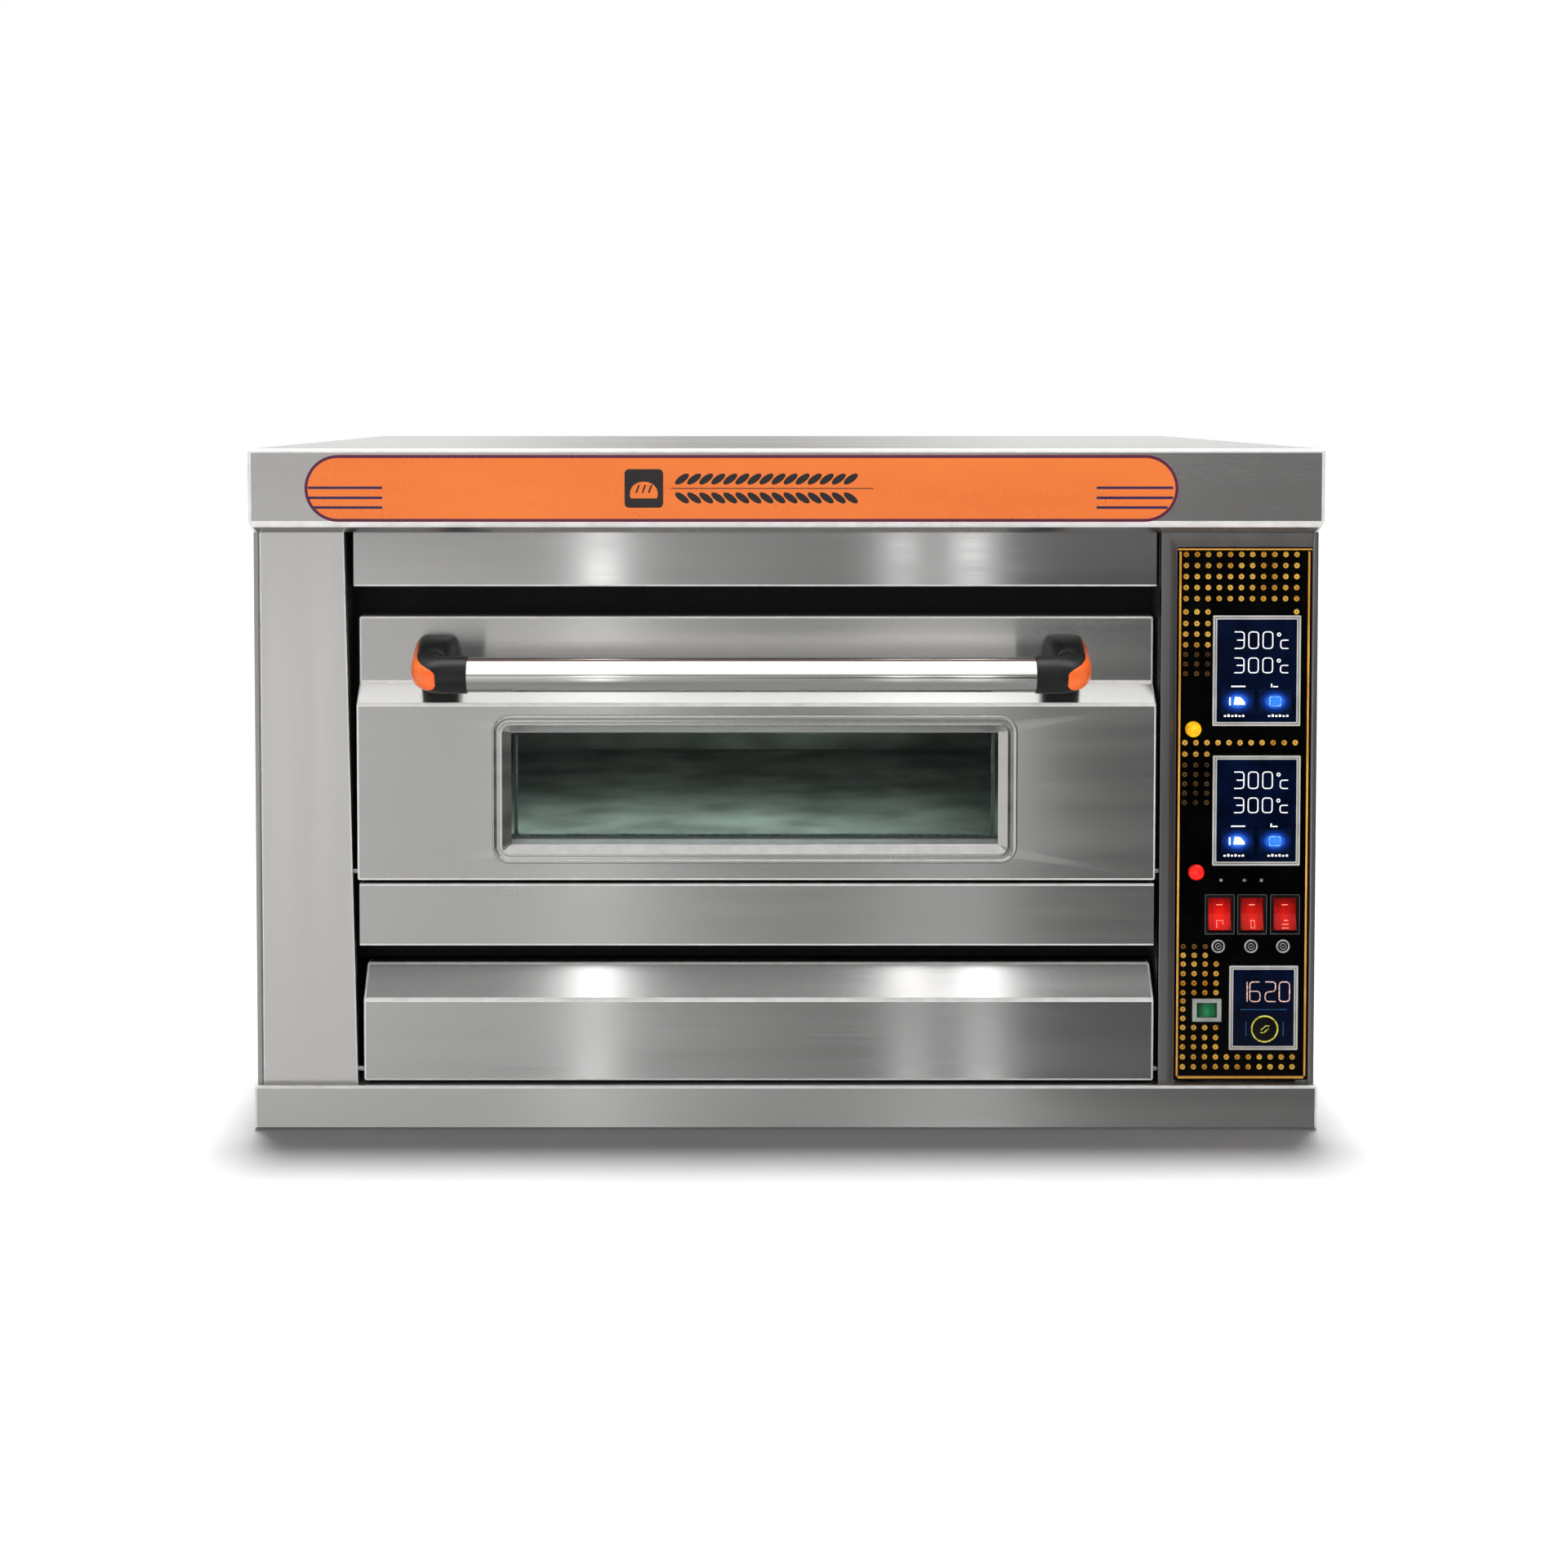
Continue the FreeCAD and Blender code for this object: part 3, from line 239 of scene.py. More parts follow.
# small metal: gold beads of the panel, zinc fittings, pipes, chrome rings
bead_gold = plain_metal("Gold_bead", "#c0801e", "#ffca58", (0.25, 0.45), 1.6, 0.3)
bead_worn = plain_metal("Worn_gold_bead", "#3a260a", "#7c5418", (0.3, 0.5), 2.5, 0.3)
burner_tube = plain_metal("Oxidised_burner_steel", "#4a4038", "#78695c", (0.5, 0.7), 1.5)
gas_pipe = plain_metal("Galvanised_pipe", "#7f8284", "#a4a8aa", (0.38, 0.55), 2.0)
brass = plain_metal("Cast_brass", "#9a7a35", "#c7a455", (0.3, 0.45), 1.0)
zinc = plain_metal("Zinc_plated_steel", "#9ea2a6", "#c6cacd", (0.25, 0.4), 0.8)
chrome = plain_metal("Chrome_plate", "#e6e8ea", "#f6f8fa", (0.2, 0.3), 1.0)
# stone wool: yellow-grey matted fibres
mineral_slab = textured("Mineral_wool", "#6f6747", "#b4a980", (9.0, 9.0, 1.6), (30.0,) * 3, (0.9, 0.98),
                        1.4, 0.8, 0.8, Sheen_Weight=0.3)
# cordierite: pale buff, 1.5 mm grit, faint flour and scorch stains
stone = textured("Cordierite_stone", "#9c988c", "#d0cdc2", (1.5,) * 3, (110.0, 90.0, 50.0), (0.62, 0.76),
                 0.25, 0.5)
# braided glass-fibre rope: grey strands that cross every 3 mm
gasket_braid = textured("Glass_fibre_braid", "#5c5c58", "#a3a39d", (3.0,) * 3, (12.0,) * 3, (0.8, 0.9),
                        0.6, 0.7, 0.9, (0.2, 0.8), "ShaderNodeTexWave")
# coated float glass: faint green from its iron, hardly any reflection
glass = textured("Tempered_glass", "#c8d1cf", "#d2dad8", (90.0, 90.0, 40.0), (90.0, 90.0, 40.0),
                 (0.01, 0.02), 0.0, Transmission_Weight=1.0, IOR=1.12)
# lit parts
yellow_lamp = lit("Yellow_lamp_lens", "#c98700", "#f0be10", "#f0b400", 0.6)
red_lamp = lit("Red_lamp_lens", "#a80808", "#f01c14", "#ff2014", 0.65)
white_light = lit("White_LED_figures", "#c9cbd2", "#f4f4f4", "#f2f2f0", 0.75, 2.0)
dot_light = lit("Dim_white_LED", "#3c4652", "#8a96a4", "#7c8894", 0.4, 2.0)
rose_light = lit("Rose_LED_figures", "#9a7468", "#ecccc0", "#e4bcae", 0.65, 2.0)
yellow_light = lit("Yellow_LED_ring", "#7f7a1c", "#e8e268", "#cfc94a", 0.45, 3.0)
mark_light = lit("Rose_lit_mark", "#ff5a3c", "#ffb8a0", "#ff9c88", 0.9, 1.4)
blue_light = lit("Blue_LED_lines", "#2f6fe8", "#9ccaff", "#58a0ff", 1.0, 3.0)
blue_dim = lit("Dim_blue_LED_lines", "#0d2c4c", "#1d4d78", "#174468", 0.5, 5.0)
oven_lamp = lit("Frosted_lamp_glass", "#d8c9a4", "#fff3d6", "#ffe2ae", 0.5)


def rocker_light(node, deep, edge, middle, power):
    """A lit rocker: its lamp sits low behind the ribbed face, so the middle and the foot glow
    brightest and the rim stays deep."""
    material, tree, shader = finish(
        node.capitalize() + "_lens", edge, Roughness=0.14, Emission_Strength=power, Coat_Weight=0.3)
    x, y, z = extent(node)
    centre = at((x[0] + x[1]) / 2, (y[0] + y[1]) / 2, (z[0] + z[1]) / 2 - (z[1] - z[0]) * 0.14)
    half = ((x[1] - x[0]) * 0.66 * MM, 60.0 * MM, (z[1] - z[0]) * 0.7 * MM)
    place = add(tree, "ShaderNodeTexCoord")
    fitted = add(tree, "ShaderNodeMapping", {
        "Vector": place.outputs["Object"], "Location": [-c / h for c, h in zip(centre, half)],
        "Scale": [1 / h for h in half]})
    ball = add(tree, "ShaderNodeTexGradient", {"Vector": fitted.outputs[0]}, gradient_type="SPHERICAL")
    narrow = add(tree, "ShaderNodeMapping",
                 {"Vector": place.outputs["Object"], "Scale": (420.0, 25.0, 110.0)})
    ribs = add(tree, "ShaderNodeTexNoise", {"Vector": narrow.outputs[0], "Scale": 1.0})
    uneven = add(tree, "ShaderNodeMapRange", {
        "Value": ribs.outputs[0], "From Min": 0.3, "From Max": 0.7, "To Min": -0.16, "To Max": 0.16})
    spread = add(tree, "ShaderNodeMath", {0: ball.outputs[1], 1: uneven.outputs[0]}, operation="ADD",
                 use_clamp=True)
    for socket, low, high in (("Base Color", deep, edge), ("Emission Color", edge, middle)):
        tone = add(tree, "ShaderNodeMix", {0: spread.outputs[0], 6: colour(low), 7: colour(high)},
                   data_type="RGBA")
        tree.links.new(tone.outputs[2], shader.inputs[socket])
    return material


def key_light():
    """A touch key lit from behind through the dark glass: blue at its middle, dying away to navy."""
    material, tree, shader = finish("Backlit_key", "#020a20", Roughness=0.08, Emission_Strength=1.5)
    place = add(tree, "ShaderNodeUVMap", uv_map="key")
    centred = add(tree, "ShaderNodeMapping", {"Vector": place.outputs[0], "Location": (-1.0, -1.0, 0.0),
                                              "Scale": (2.0, 2.0, 1.0)})
    ball = add(tree, "ShaderNodeTexGradient", {"Vector": centred.outputs[0]}, gradient_type="SPHERICAL")
    ramp = add(tree, "ShaderNodeValToRGB", {"Fac": ball.outputs[1]})
    set_stops(ramp, ((0.0, colour("#020817")), (0.3, colour("#08226c")), (0.8, colour("#3478f4"))))
    tree.links.new(ramp.outputs[0], shader.inputs["Emission Color"])
    return material


key_glow = key_light()


# ---------------------------------------------------------------- shapes
def outward(mesh):
    """Turns the faces of closed shells outwards."""
    bmesh.ops.recalc_face_normals(mesh, faces=mesh.faces)


def front_facing(mesh, limit):
    """Turns round the faces that look back by more than a limit."""
    for part in mesh.faces:
        if part.normal.y > limit:
            part.normal_flip()


def face_out(mesh):
    """Turns an open shell's faces outwards: its foremost face looks to the front."""
    outward(mesh)
    foremost = min(mesh.faces, key=lambda f: f.calc_center_median().y)
    if foremost.normal.y > 0:
        bmesh.ops.reverse_faces(mesh, faces=mesh.faces)


def round_edges(mesh, radius, segments=3):
    """Rounds the bends of a shell and gives them the second material, on most sheets the pale painted
    highlight.
    """
    bends = [e for e in mesh.edges if len(e.link_faces) == 2 and e.calc_face_angle() > SHARP_BEND]
    bmesh.ops.bevel(mesh, geom=bends, offset=radius * MM, segments=segments, profile=0.5,
                    affect="EDGES", clamp_overlap=True, material=1)


def put(name, data):
    """An object in the scene."""
    thing = bpy.data.objects.new(name, data)
    scene.collection.objects.link(thing)
    return thing


def plain_mesh(draft, name):
    """The plain mesh of what a draft shows; the draft goes."""
    mesh = bpy.data.meshes.new_from_object(draft.evaluated_get(bpy.context.evaluated_depsgraph_get()))
    bpy.data.objects.remove(draft)
    mesh.name = name
    return mesh


def make_piece(name, mesh, materials, body, nodes=(), wall=None, crease=32.0):
    """A finished piece from its mesh, riding on a body and standing for CAD nodes if it does."""
    if not isinstance(mesh, bpy.types.Mesh):
        shape = bpy.data.meshes.new(name)
        mesh.to_mesh(shape)
        mesh.free()
        mesh = shape
    if not isinstance(materials, (list, tuple)):
        # a walled sheet's rounded bends take the pale painted highlight
        materials = [materials, bend_painted_highlight] if wall else [materials]
    if len(mesh.materials):
        mesh.materials.clear()
    for material in materials:
        mesh.materials.append(material)
    mesh.shade_smooth()
    mesh.set_sharp_from_angle(angle=math.radians(crease))
    piece = put(name, mesh)
    if wall:
        skin = piece.modifiers.new("Sheet thickness", "SOLIDIFY")
        skin.thickness = wall * MM
        skin.offset = -1.0
        skin.use_even_offset = True
    even = piece.modifiers.new("Flat faces", "WEIGHTED_NORMAL")
    even.keep_sharp = True
    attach(piece, body)
    if nodes:
        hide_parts(*nodes)


def sheet_piece(name, mesh, material, node, radius, segments=3, wall=SHEET, body="cabinet"):
    """A bent sheet: faces turned outwards, bends rounded, standing for its node."""
    face_out(mesh)
    round_edges(mesh, radius, segments)
    make_piece(name, mesh, material, body, [node], wall)


def folded(profile, x, ends=(True, True)):
    """Sheet along a profile of (y, z) points between two x values, with its ends folded in."""
    mesh = bmesh.new()
    rows = [[mesh.verts.new(at(side, y, z)) for y, z in profile] for side in x]
    for step in range(len(profile) - 1):
        mesh.faces.new((rows[0][step], rows[1][step], rows[1][step + 1], rows[0][step + 1]))
    for row, closed in zip(rows, ends):
        if closed:
            mesh.faces.new(row)
    return mesh


def loft(mesh, rings, start=False, end=False, index=0):
    """Joins rings of points, each a closed loop, and closes the first and last if asked."""
    rows = [[mesh.verts.new(p) for p in ring] for ring in rings]
    count = len(rings[0])
    made = []
    for a, b in zip(rows, rows[1:]):
        for step in range(count):
            after = (step + 1) % count
            made.append(mesh.faces.new((a[step], a[after], b[after], b[step])))
    if start:
        made.append(mesh.faces.new(rows[0][::-1]))
    if end:
        made.append(mesh.faces.new(rows[-1]))
    for face in made:
        face.material_index = index


def circle(centre, radius, axis, count=64):
    """A ring of points around x, y or z, with its centre in the frame's metres."""
    points = []
    for step in range(count):
        a = 2 * math.pi * step / count
        u, v = radius * MM * math.cos(a), radius * MM * math.sin(a)
        turned = {"x": (0, u, v), "y": (u, 0, v), "z": (u, v, 0)}[axis]
        points.append(centre + Vector(turned))
    return points


def turned(mesh, centre, profile, axis, count=64, index=0):
    """Turns a profile of (radius, distance along the axis) about the axis; closed at both ends."""
    step = Vector({"x": (MM, 0, 0), "y": (0, MM, 0), "z": (0, 0, MM)}[axis])
    rings = [circle(centre + step * along, radius, axis, count) for radius, along in profile]
    loft(mesh, rings, True, True, index)


def rounded_outline(x, z, radius, steps=8):
    """A rectangle with round corners, as (x, z) points."""
    points = []
    corners = ((x[1], z[0], -90), (x[1], z[1], 0), (x[0], z[1], 90), (x[0], z[0], 180))
    for cx, cz, start in corners:
        mx = cx - radius if cx == x[1] else cx + radius
        mz = cz + radius if cz == z[0] else cz - radius
        for step in range(steps + 1):
            a = math.radians(start + 90 * step / steps)
            points.append((mx + radius * math.cos(a), mz + radius * math.sin(a)))
    return points


def inset_ring(x, z, radius, inset, y, steps=8):
    """The outline taken in by an amount, as a ring at a depth y."""
    inner = rounded_outline((x[0] + inset, x[1] - inset), (z[0] + inset, z[1] - inset),
                            max(radius - inset, 0.6), steps)
    return level(inner, y)


def plate_round_hole(mesh, x, z, y, outline):
    """A flat face between a rectangle and a round-cornered hole given as (x, z) points."""
    quarter = len(outline) // 4
    corners = ((x[1], z[0]), (x[1], z[1]), (x[0], z[1]), (x[0], z[0]))
    hole = [mesh.verts.new(p) for p in level(outline, y)]
    outer = [mesh.verts.new(p) for p in level(corners, y)]
    for number in range(4):
        first = number * quarter
        for step in range(quarter - 1):
            mesh.faces.new((outer[number], hole[first + step + 1], hole[first + step]))
        following = (first + quarter) % len(outline)
        after = (number + 1) % 4
        mesh.faces.new((outer[number], outer[after], hole[following], hole[first + quarter - 1]))


def strokes(name, lines, radius, material, body, sides=1):
    """Round strokes along lines of places, for figures and printed marks."""
    curve = bpy.data.curves.new(name, "CURVE")
    curve.dimensions = "3D"
    curve.bevel_depth = radius * MM
    curve.bevel_resolution = sides
    curve.use_fill_caps = True
    for points, cyclic in lines:
        spline = curve.splines.new("POLY")
        spline.points.add(len(points) - 1)
        for point, place in zip(spline.points, points):
            point.co = (*place, 1.0)
        spline.use_cyclic_u = cyclic
    mesh = plain_mesh(put(name + "_draft", curve), name)
    make_piece(name, mesh, material, body, crease=60.0)


def softened(points, radius, cyclic, steps=4):
    """A path of (x, z) points with its corners rounded."""
    count = len(points)
    path = []
    for number, point in enumerate(points):
        here = Vector(point)
        if not cyclic and number in (0, count - 1):
            path.append(here)
            continue
        before, after = Vector(points[number - 1]), Vector(points[(number + 1) % count])
        reach = min(radius, (before - here).length / 2, (after - here).length / 2)
        start = here + (before - here).normalized() * reach
        end = here + (after - here).normalized() * reach
        for step in range(steps + 1):
            t = step / steps
            path.append(start * (1 - t) ** 2 + here * 2 * t * (1 - t) + end * t ** 2)
    return path


def soft_box(x, z, half_x, half_z, radius):
    """A box about (x, z) with its corners rounded."""
    return softened([(x + u * half_x, z + v * half_z) for u, v in CORNERS], radius, True)


FIGURES = {                     # strokes in a box 1 wide and 1 high, and whether each closes
    "0": [([(0, 0), (1, 0), (1, 1), (0, 1)], True)],
    "1": [([(0.62, 0), (0.62, 1)], False)],
    "2": [([(0, 1), (1, 1), (1, 0.52), (0, 0.48), (0, 0), (1, 0)], False)],
    "3": [([(0, 1), (1, 1), (1, 0), (0, 0)], False), ([(0.25, 0.5), (0.98, 0.5)], False)],
    "6": [([(0.95, 1), (0, 1), (0, 0), (1, 0), (1, 0.52), (0.02, 0.52)], False)],
    "C": [([(1, 1), (0, 1), (0, 0), (1, 0)], False)],
    "-": [([(0.2, 0.5), (0.8, 0.5)], False)],
}


def figure(sign, x, z, width, height, y):
    """One sign of a display as stroke lines, from its lower left corner."""
    lines = []
    for points, cyclic in FIGURES[sign]:
        sized = [(x + px * width, z + pz * height) for px, pz in points]
        path = softened(sized, width * 0.36, cyclic)
        lines.append((level(path, y), cyclic))
    return lines


# ---------------------------------------------------------------- repeated pieces
def repeat_tree(name, sizes):
    """A geometry node tree with a geometry input and named sizes, and its first and last nodes."""
    tree = bpy.data.node_groups.new(name, "GeometryNodeTree")
    tree.interface.new_socket("Geometry", in_out="INPUT", socket_type="NodeSocketGeometry")
    for label, value in sizes.items():
        kind = "NodeSocketInt" if isinstance(value, int) else "NodeSocketFloat"
        tree.interface.new_socket(label, in_out="INPUT", socket_type=kind).default_value = value
    tree.interface.new_socket("Geometry", in_out="OUTPUT", socket_type="NodeSocketGeometry")
    return tree, add(tree, "NodeGroupInput"), add(tree, "NodeGroupOutput")


def repeated(name, places, tree, sizes, material, body, nodes=()):
    """One plain mesh of what the tree puts on every place; sizes are set by each socket's identifier."""
    points = bpy.data.meshes.new(name)
    points.from_pydata([tuple(p) for p in places], [], [])
    draft = put(name + "_draft", points)
    maker = draft.modifiers.new("Repeat", "NODES")
    maker.node_group = tree
    for item in tree.interface.items_tree:
        if item.in_out == "INPUT" and item.name in sizes:
            maker[item.identifier] = sizes[item.name]
    make_piece(name, plain_mesh(draft, name), material, body, nodes, crease=50.0)


def ending(tree, shape, points, material, output, turn=(0.0, 0.0, 0.0)):
    """Puts a shape on the points, makes it real and gives it its material."""
    placed = add(tree, "GeometryNodeInstanceOnPoints",
                 {"Points": points, "Instance": shape, "Rotation": turn})
    real = add(tree, "GeometryNodeRealizeInstances", {"Geometry": placed.outputs[0]})
    painted = add(tree, "GeometryNodeSetMaterial", {"Geometry": real.outputs[0], "Material": material})
    tree.links.new(painted.outputs[0], output.inputs[0])


def bead_tree():
    """A small raised ring, standing on the panel."""
    sizes = {"Ring radius": 1.9 * MM, "Wire radius": 1.35 * MM, "Sides": 12}
    tree, start, end = repeat_tree("Panel_beads", sizes)
    loop = add(tree, "GeometryNodeCurvePrimitiveCircle", {
        "Resolution": start.outputs["Sides"], "Radius": start.outputs["Ring radius"]})
    wire = add(tree, "GeometryNodeCurvePrimitiveCircle",
               {"Resolution": 5, "Radius": start.outputs["Wire radius"]})
    ring = add(tree, "GeometryNodeCurveToMesh",
               {"Curve": loop.outputs[0], "Profile Curve": wire.outputs[0]})
    ending(tree, ring.outputs[0], start.outputs[0], bead_gold, end, (math.pi / 2, 0.0, 0.0))
    return tree, sizes


def screw_tree():
    """A pan-head screw: a low domed head with a cross recess suggested by a small boss ring."""
    sizes = {"Head radius": 4.8 * MM, "Head height": 1.6 * MM, "Recess radius": 1.9 * MM, "Sides": 20}
    tree, start, end = repeat_tree("Rear_screws", sizes)
    head = add(tree, "GeometryNodeMeshCone", {
        "Vertices": start.outputs["Sides"], "Radius Top": 3.6 * MM,
        "Radius Bottom": start.outputs["Head radius"], "Depth": start.outputs["Head height"]})
    ring = add(tree, "GeometryNodeCurvePrimitiveCircle",
               {"Resolution": 10, "Radius": start.outputs["Recess radius"]})
    wire = add(tree, "GeometryNodeCurvePrimitiveCircle", {"Resolution": 4, "Radius": 0.45 * MM})
    rim = add(tree, "GeometryNodeCurveToMesh",
              {"Curve": ring.outputs[0], "Profile Curve": wire.outputs[0]})
    lifted = add(tree, "GeometryNodeTransform", {
        "Geometry": rim.outputs[0], "Translation": (0.0, 0.0, 1.7 * MM)})
    both = add(tree, "GeometryNodeJoinGeometry")
    tree.links.new(lifted.outputs[0], both.inputs[0])
    tree.links.new(head.outputs[0], both.inputs[0])
    ending(tree, both.outputs[0], start.outputs[0], zinc, end, (-math.pi / 2, 0.0, 0.0))
    return tree, sizes


def grain_tree():
    """A flat grain of wheat, leaning outwards from its ear."""
    sizes = {"Grain length": 7.0 * MM, "Grain width": 2.6 * MM, "Sides": 12}
    tree, start, end = repeat_tree("Wheat_grains", sizes)
    disc = add(tree, "GeometryNodeMeshCylinder", {
        "Vertices": start.outputs["Sides"], "Radius": 1.0 * MM, "Depth": 0.1 * MM})
    shape = add(tree, "ShaderNodeCombineXYZ",
                {"X": start.outputs["Grain length"], "Y": start.outputs["Grain width"],
                                               "Z": 1.0})
    scale = add(tree, "ShaderNodeVectorMath", {0: shape.outputs[0], 1: (1000.0, 1000.0, 1.0)},
                operation="MULTIPLY")
    grain = add(tree, "GeometryNodeTransform", {"Geometry": disc.outputs[0], "Scale": scale.outputs[0]})
    place = add(tree, "GeometryNodeInputPosition")
    split = add(tree, "ShaderNodeSeparateXYZ", {"Vector": place.outputs[0]})
    stem = (decal_z[0] + decal_z[1]) / 2 * MM
    side = add(tree, "ShaderNodeMath", {0: split.outputs["Z"], 1: stem}, operation="SUBTRACT")
    lean = add(tree, "ShaderNodeMath", {0: side.outputs[0]}, operation="SIGN")
    spin = add(tree, "ShaderNodeMath", {0: lean.outputs[0], 1: -0.62}, operation="MULTIPLY")
    upright = add(tree, "GeometryNodeTransform", {
        "Geometry": grain.outputs[0], "Rotation": (math.pi / 2, 0.0, 0.0)})
    leaning = add(tree, "ShaderNodeCombineXYZ", {"X": 0.0, "Y": spin.outputs[0], "Z": 0.0})
    ending(tree, upright.outputs[0], start.outputs[0], black_ink, end, leaning.outputs[0])
    return tree, sizes


def slab(mesh, x, y, z, index=0):
    """A thin printed bar or strip."""
    outline = ((x[0], z[0]), (x[1], z[0]), (x[1], z[1]), (x[0], z[1]))
    loft(mesh, [level(outline, depth) for depth in y], True, True, index)


# ---------------------------------------------------------------- outer sheets
side_x, side_y, _ = extent("left_side_panel")
BODY_HALF = -side_x[0]
decal_x, decal_y, decal_z = extent("decal_band")


def rectangle(x, y, z):
    """A rectangle at a height, as a ring."""
    return [at(px, py, z) for px, py in ((x[0], y[0]), (x[1], y[0]), (x[1], y[1]), (x[0], y[1]))]


def make_canopy():
    """Lid with a rolled edge; under it the sheet tapers in to the body."""
    x, y, z = extent("canopy")
    mesh = bmesh.new()
    rim = rectangle((-BODY_HALF, BODY_HALF), side_y, z[0])
    loft(mesh, [rim, rectangle(x, y, z[0] + 9.0), rectangle(x, y, z[1])], end=True)
    sheet_piece("canopy_sheet", mesh, steel_canopy, "canopy", 4.5, 4)


def make_plinth():
    """Base tray with rounded edges, open below."""
    x, y, z = extent("base_plinth")
    mesh = bmesh.new()
    loft(mesh, [rectangle(x, y, z[0]), rectangle(x, y, z[1])], end=True)
    sheet_piece("plinth_sheet", mesh, steel_front, "base_plinth", 3.0, 4)


def upright_sheet(points, z):
    """Sheet that follows (x, y) points and stands between two heights."""
    mesh = bmesh.new()
    rows = [[mesh.verts.new(at(x, y, height)) for x, y in points] for height in z]
    for step in range(len(points) - 1):
        mesh.faces.new((rows[0][step], rows[0][step + 1], rows[1][step + 1], rows[1][step]))
    return mesh


def make_side_panels():
    for name, side in (("left_side_panel", -1), ("right_side_panel", 1)):
        _, y, z = extent(name)
        outer = side * BODY_HALF
        fold, lip = outer - side * 6.5, y[0] + 4.0
        mesh = upright_sheet([(outer, y[1]), (outer, y[0]), (fold, y[0]), (fold, lip)], z)
        face_out(mesh)
        round_edges(mesh, 1.6)
        for part in mesh.faces:        # painted shade: the right panel's front fold takes the column's darker steel
            part.material_index = int(side > 0 and part.normal.y < -0.5)
        make_piece(name + "_sheet", mesh, [steel_sides, steel_column_painted_shade], "cabinet", [name],
                   THIN_SHEET)


def make_left_front():
    """Tall front panel; its right edge slants and is folded back."""
    x, y, z = extent("left_front_panel")
    top_edge = extent("left_side_panel")[0][0] + 101.5
    mesh = bmesh.new()
    corners = [(x[0] + 0.4, z[0]), (x[1], z[0]), (top_edge, z[1]), (x[0] + 0.4, z[1])]
    front, back = [[mesh.verts.new(p) for p in level(corners, depth)] for depth in (y[0], y[0] + 12.0)]
    mesh.faces.new(front)
    mesh.faces.new((front[1], back[1], back[2], front[2]))
    mesh.faces.new((front[3], back[3], back[0], front[0]))
    sheet_piece("left_front_sheet", mesh, steel_upright, "left_front_panel", 1.4, wall=THIN_SHEET)


def make_fronts():
    """The fixed strips over and under the door."""
    x, y, z = extent("fascia_panel")
    mesh = folded([(y[1], z[0]), (y[0], z[0]), (y[0], z[1])], x, (False, False))
    sheet_piece("fascia_sheet", mesh, steel_smooth, "fascia_panel", 2.2, wall=THIN_SHEET)
    x, y, z = extent("lower_front_strip")
    mesh = folded([(y[0] + 28, z[0]), (y[0], z[0]), (y[0], z[1]), (y[1], z[1])], x, (False, False))
    sheet_piece("front_strip_sheet", mesh, steel_front, "lower_front_strip", 2.6, wall=THIN_SHEET)


def make_flap():
    """Drop-down cover of the burner compartment: a face, a slope over it and folded ends."""
    x, _, z = extent("burner_flap")
    door_x, _, _ = extent("door_outer_skin")
    left, right = door_x[0] + 6.0, door_x[1] - 0.5
    face, head, back = 10.0, 36.0, 50.0
    turn = z[0] + 92.5
    mesh = folded([(back, z[0]), (face, z[0]), (face, turn), (head, z[1]), (back, z[1])], (left, right))
    sheet_piece("flap_sheet", mesh, steel_smooth, "burner_flap", 2.6, 4, body="burner_flap")
    mesh = bmesh.new()
    for start, length in ((x[0], left - x[0] + 1), (right - 1, x[1] - right + 1)):
        turned(mesh, at(start, 18.0, z[0] + 12.0),
               [(2.4, 0), (3.0, 0.6), (3.0, length - 0.6), (2.4, length)], "x", 24)
    outward(mesh)
    make_piece("flap_pins", mesh, zinc, "burner_flap", ["burner_flap"])


# ---------------------------------------------------------------- door
HEAD_Y = 30.0                   # face of the door's set-back head


def make_door():
    """Outer skin: a face with the window's hole, a sloping ledge and the set-back head."""
    x, y, z = extent("door_outer_skin")
    frame_x, _, frame_z = extent("window_frame")
    bend = extent("chamber_front_frame")[2][0] + 299.0
    ledge = bend + 22.0
    under = 8.7                     # of the window frame over the edge of the hole
    mesh = bmesh.new()
    hole = rounded_outline((frame_x[0] + under, frame_x[1] - under),
                           (frame_z[0] + under, frame_z[1] - under), 11.3)
    plate_round_hole(mesh, x, (z[0], bend), y[0], hole)
    profile = [(y[1], z[0]), (y[0], z[0]), (y[0], bend), (HEAD_Y, ledge), (HEAD_Y, z[1]), (y[1], z[1])]
    rows = [[mesh.verts.new(at(side, py, pz)) for py, pz in profile] for side in x]
    for step in (0, 2, 3, 4):
        mesh.faces.new((rows[0][step], rows[1][step], rows[1][step + 1], rows[0][step + 1]))
    for row in rows:
        mesh.faces.new(row)
    bmesh.ops.remove_doubles(mesh, verts=mesh.verts, dist=1e-6)
    sheet_piece("door_sheet", mesh, steel_front, "door_outer_skin", 2.4, 4, body="door")


def make_window_frame():
    """Pressed frame: a bead outside, a groove, a narrow bead and a sloping reveal to the glass."""
    x, y, z = extent("window_frame")
    front = y[0]
    deep = min(extent("outer_glass")[1][0] - 0.8, y[1] - 0.2)
    profile = [
        (0.0, front + 3.2), (0.4, front + 1.2), (1.6, front + 0.1), (3.6, front + 0.1),
        (5.0, front + 1.2), (5.4, front + 2.2), (8.0, front + 2.3), (8.6, front + 1.2),
        (9.6, front + 0.9), (11.2, front + 0.9), (12.0, front + 1.8),
        (19.6, min(front + 9.4, deep - 0.6)), (20.8, min(front + 9.6, deep - 0.4)), (22.0, deep),
    ]
    mesh = bmesh.new()
    loft(mesh, [inset_ring(x, z, 20.0, inset, py, 10) for inset, py in profile])
    face_out(mesh)
    # painted highlight: faces that look up take the pale bend material
    for part in mesh.faces:
        part.material_index = int(part.normal.z > 0.45)
    make_piece("window_frame_pressing", mesh, steel_frame, "door", ["window_frame"],
               0.9, 40.0)


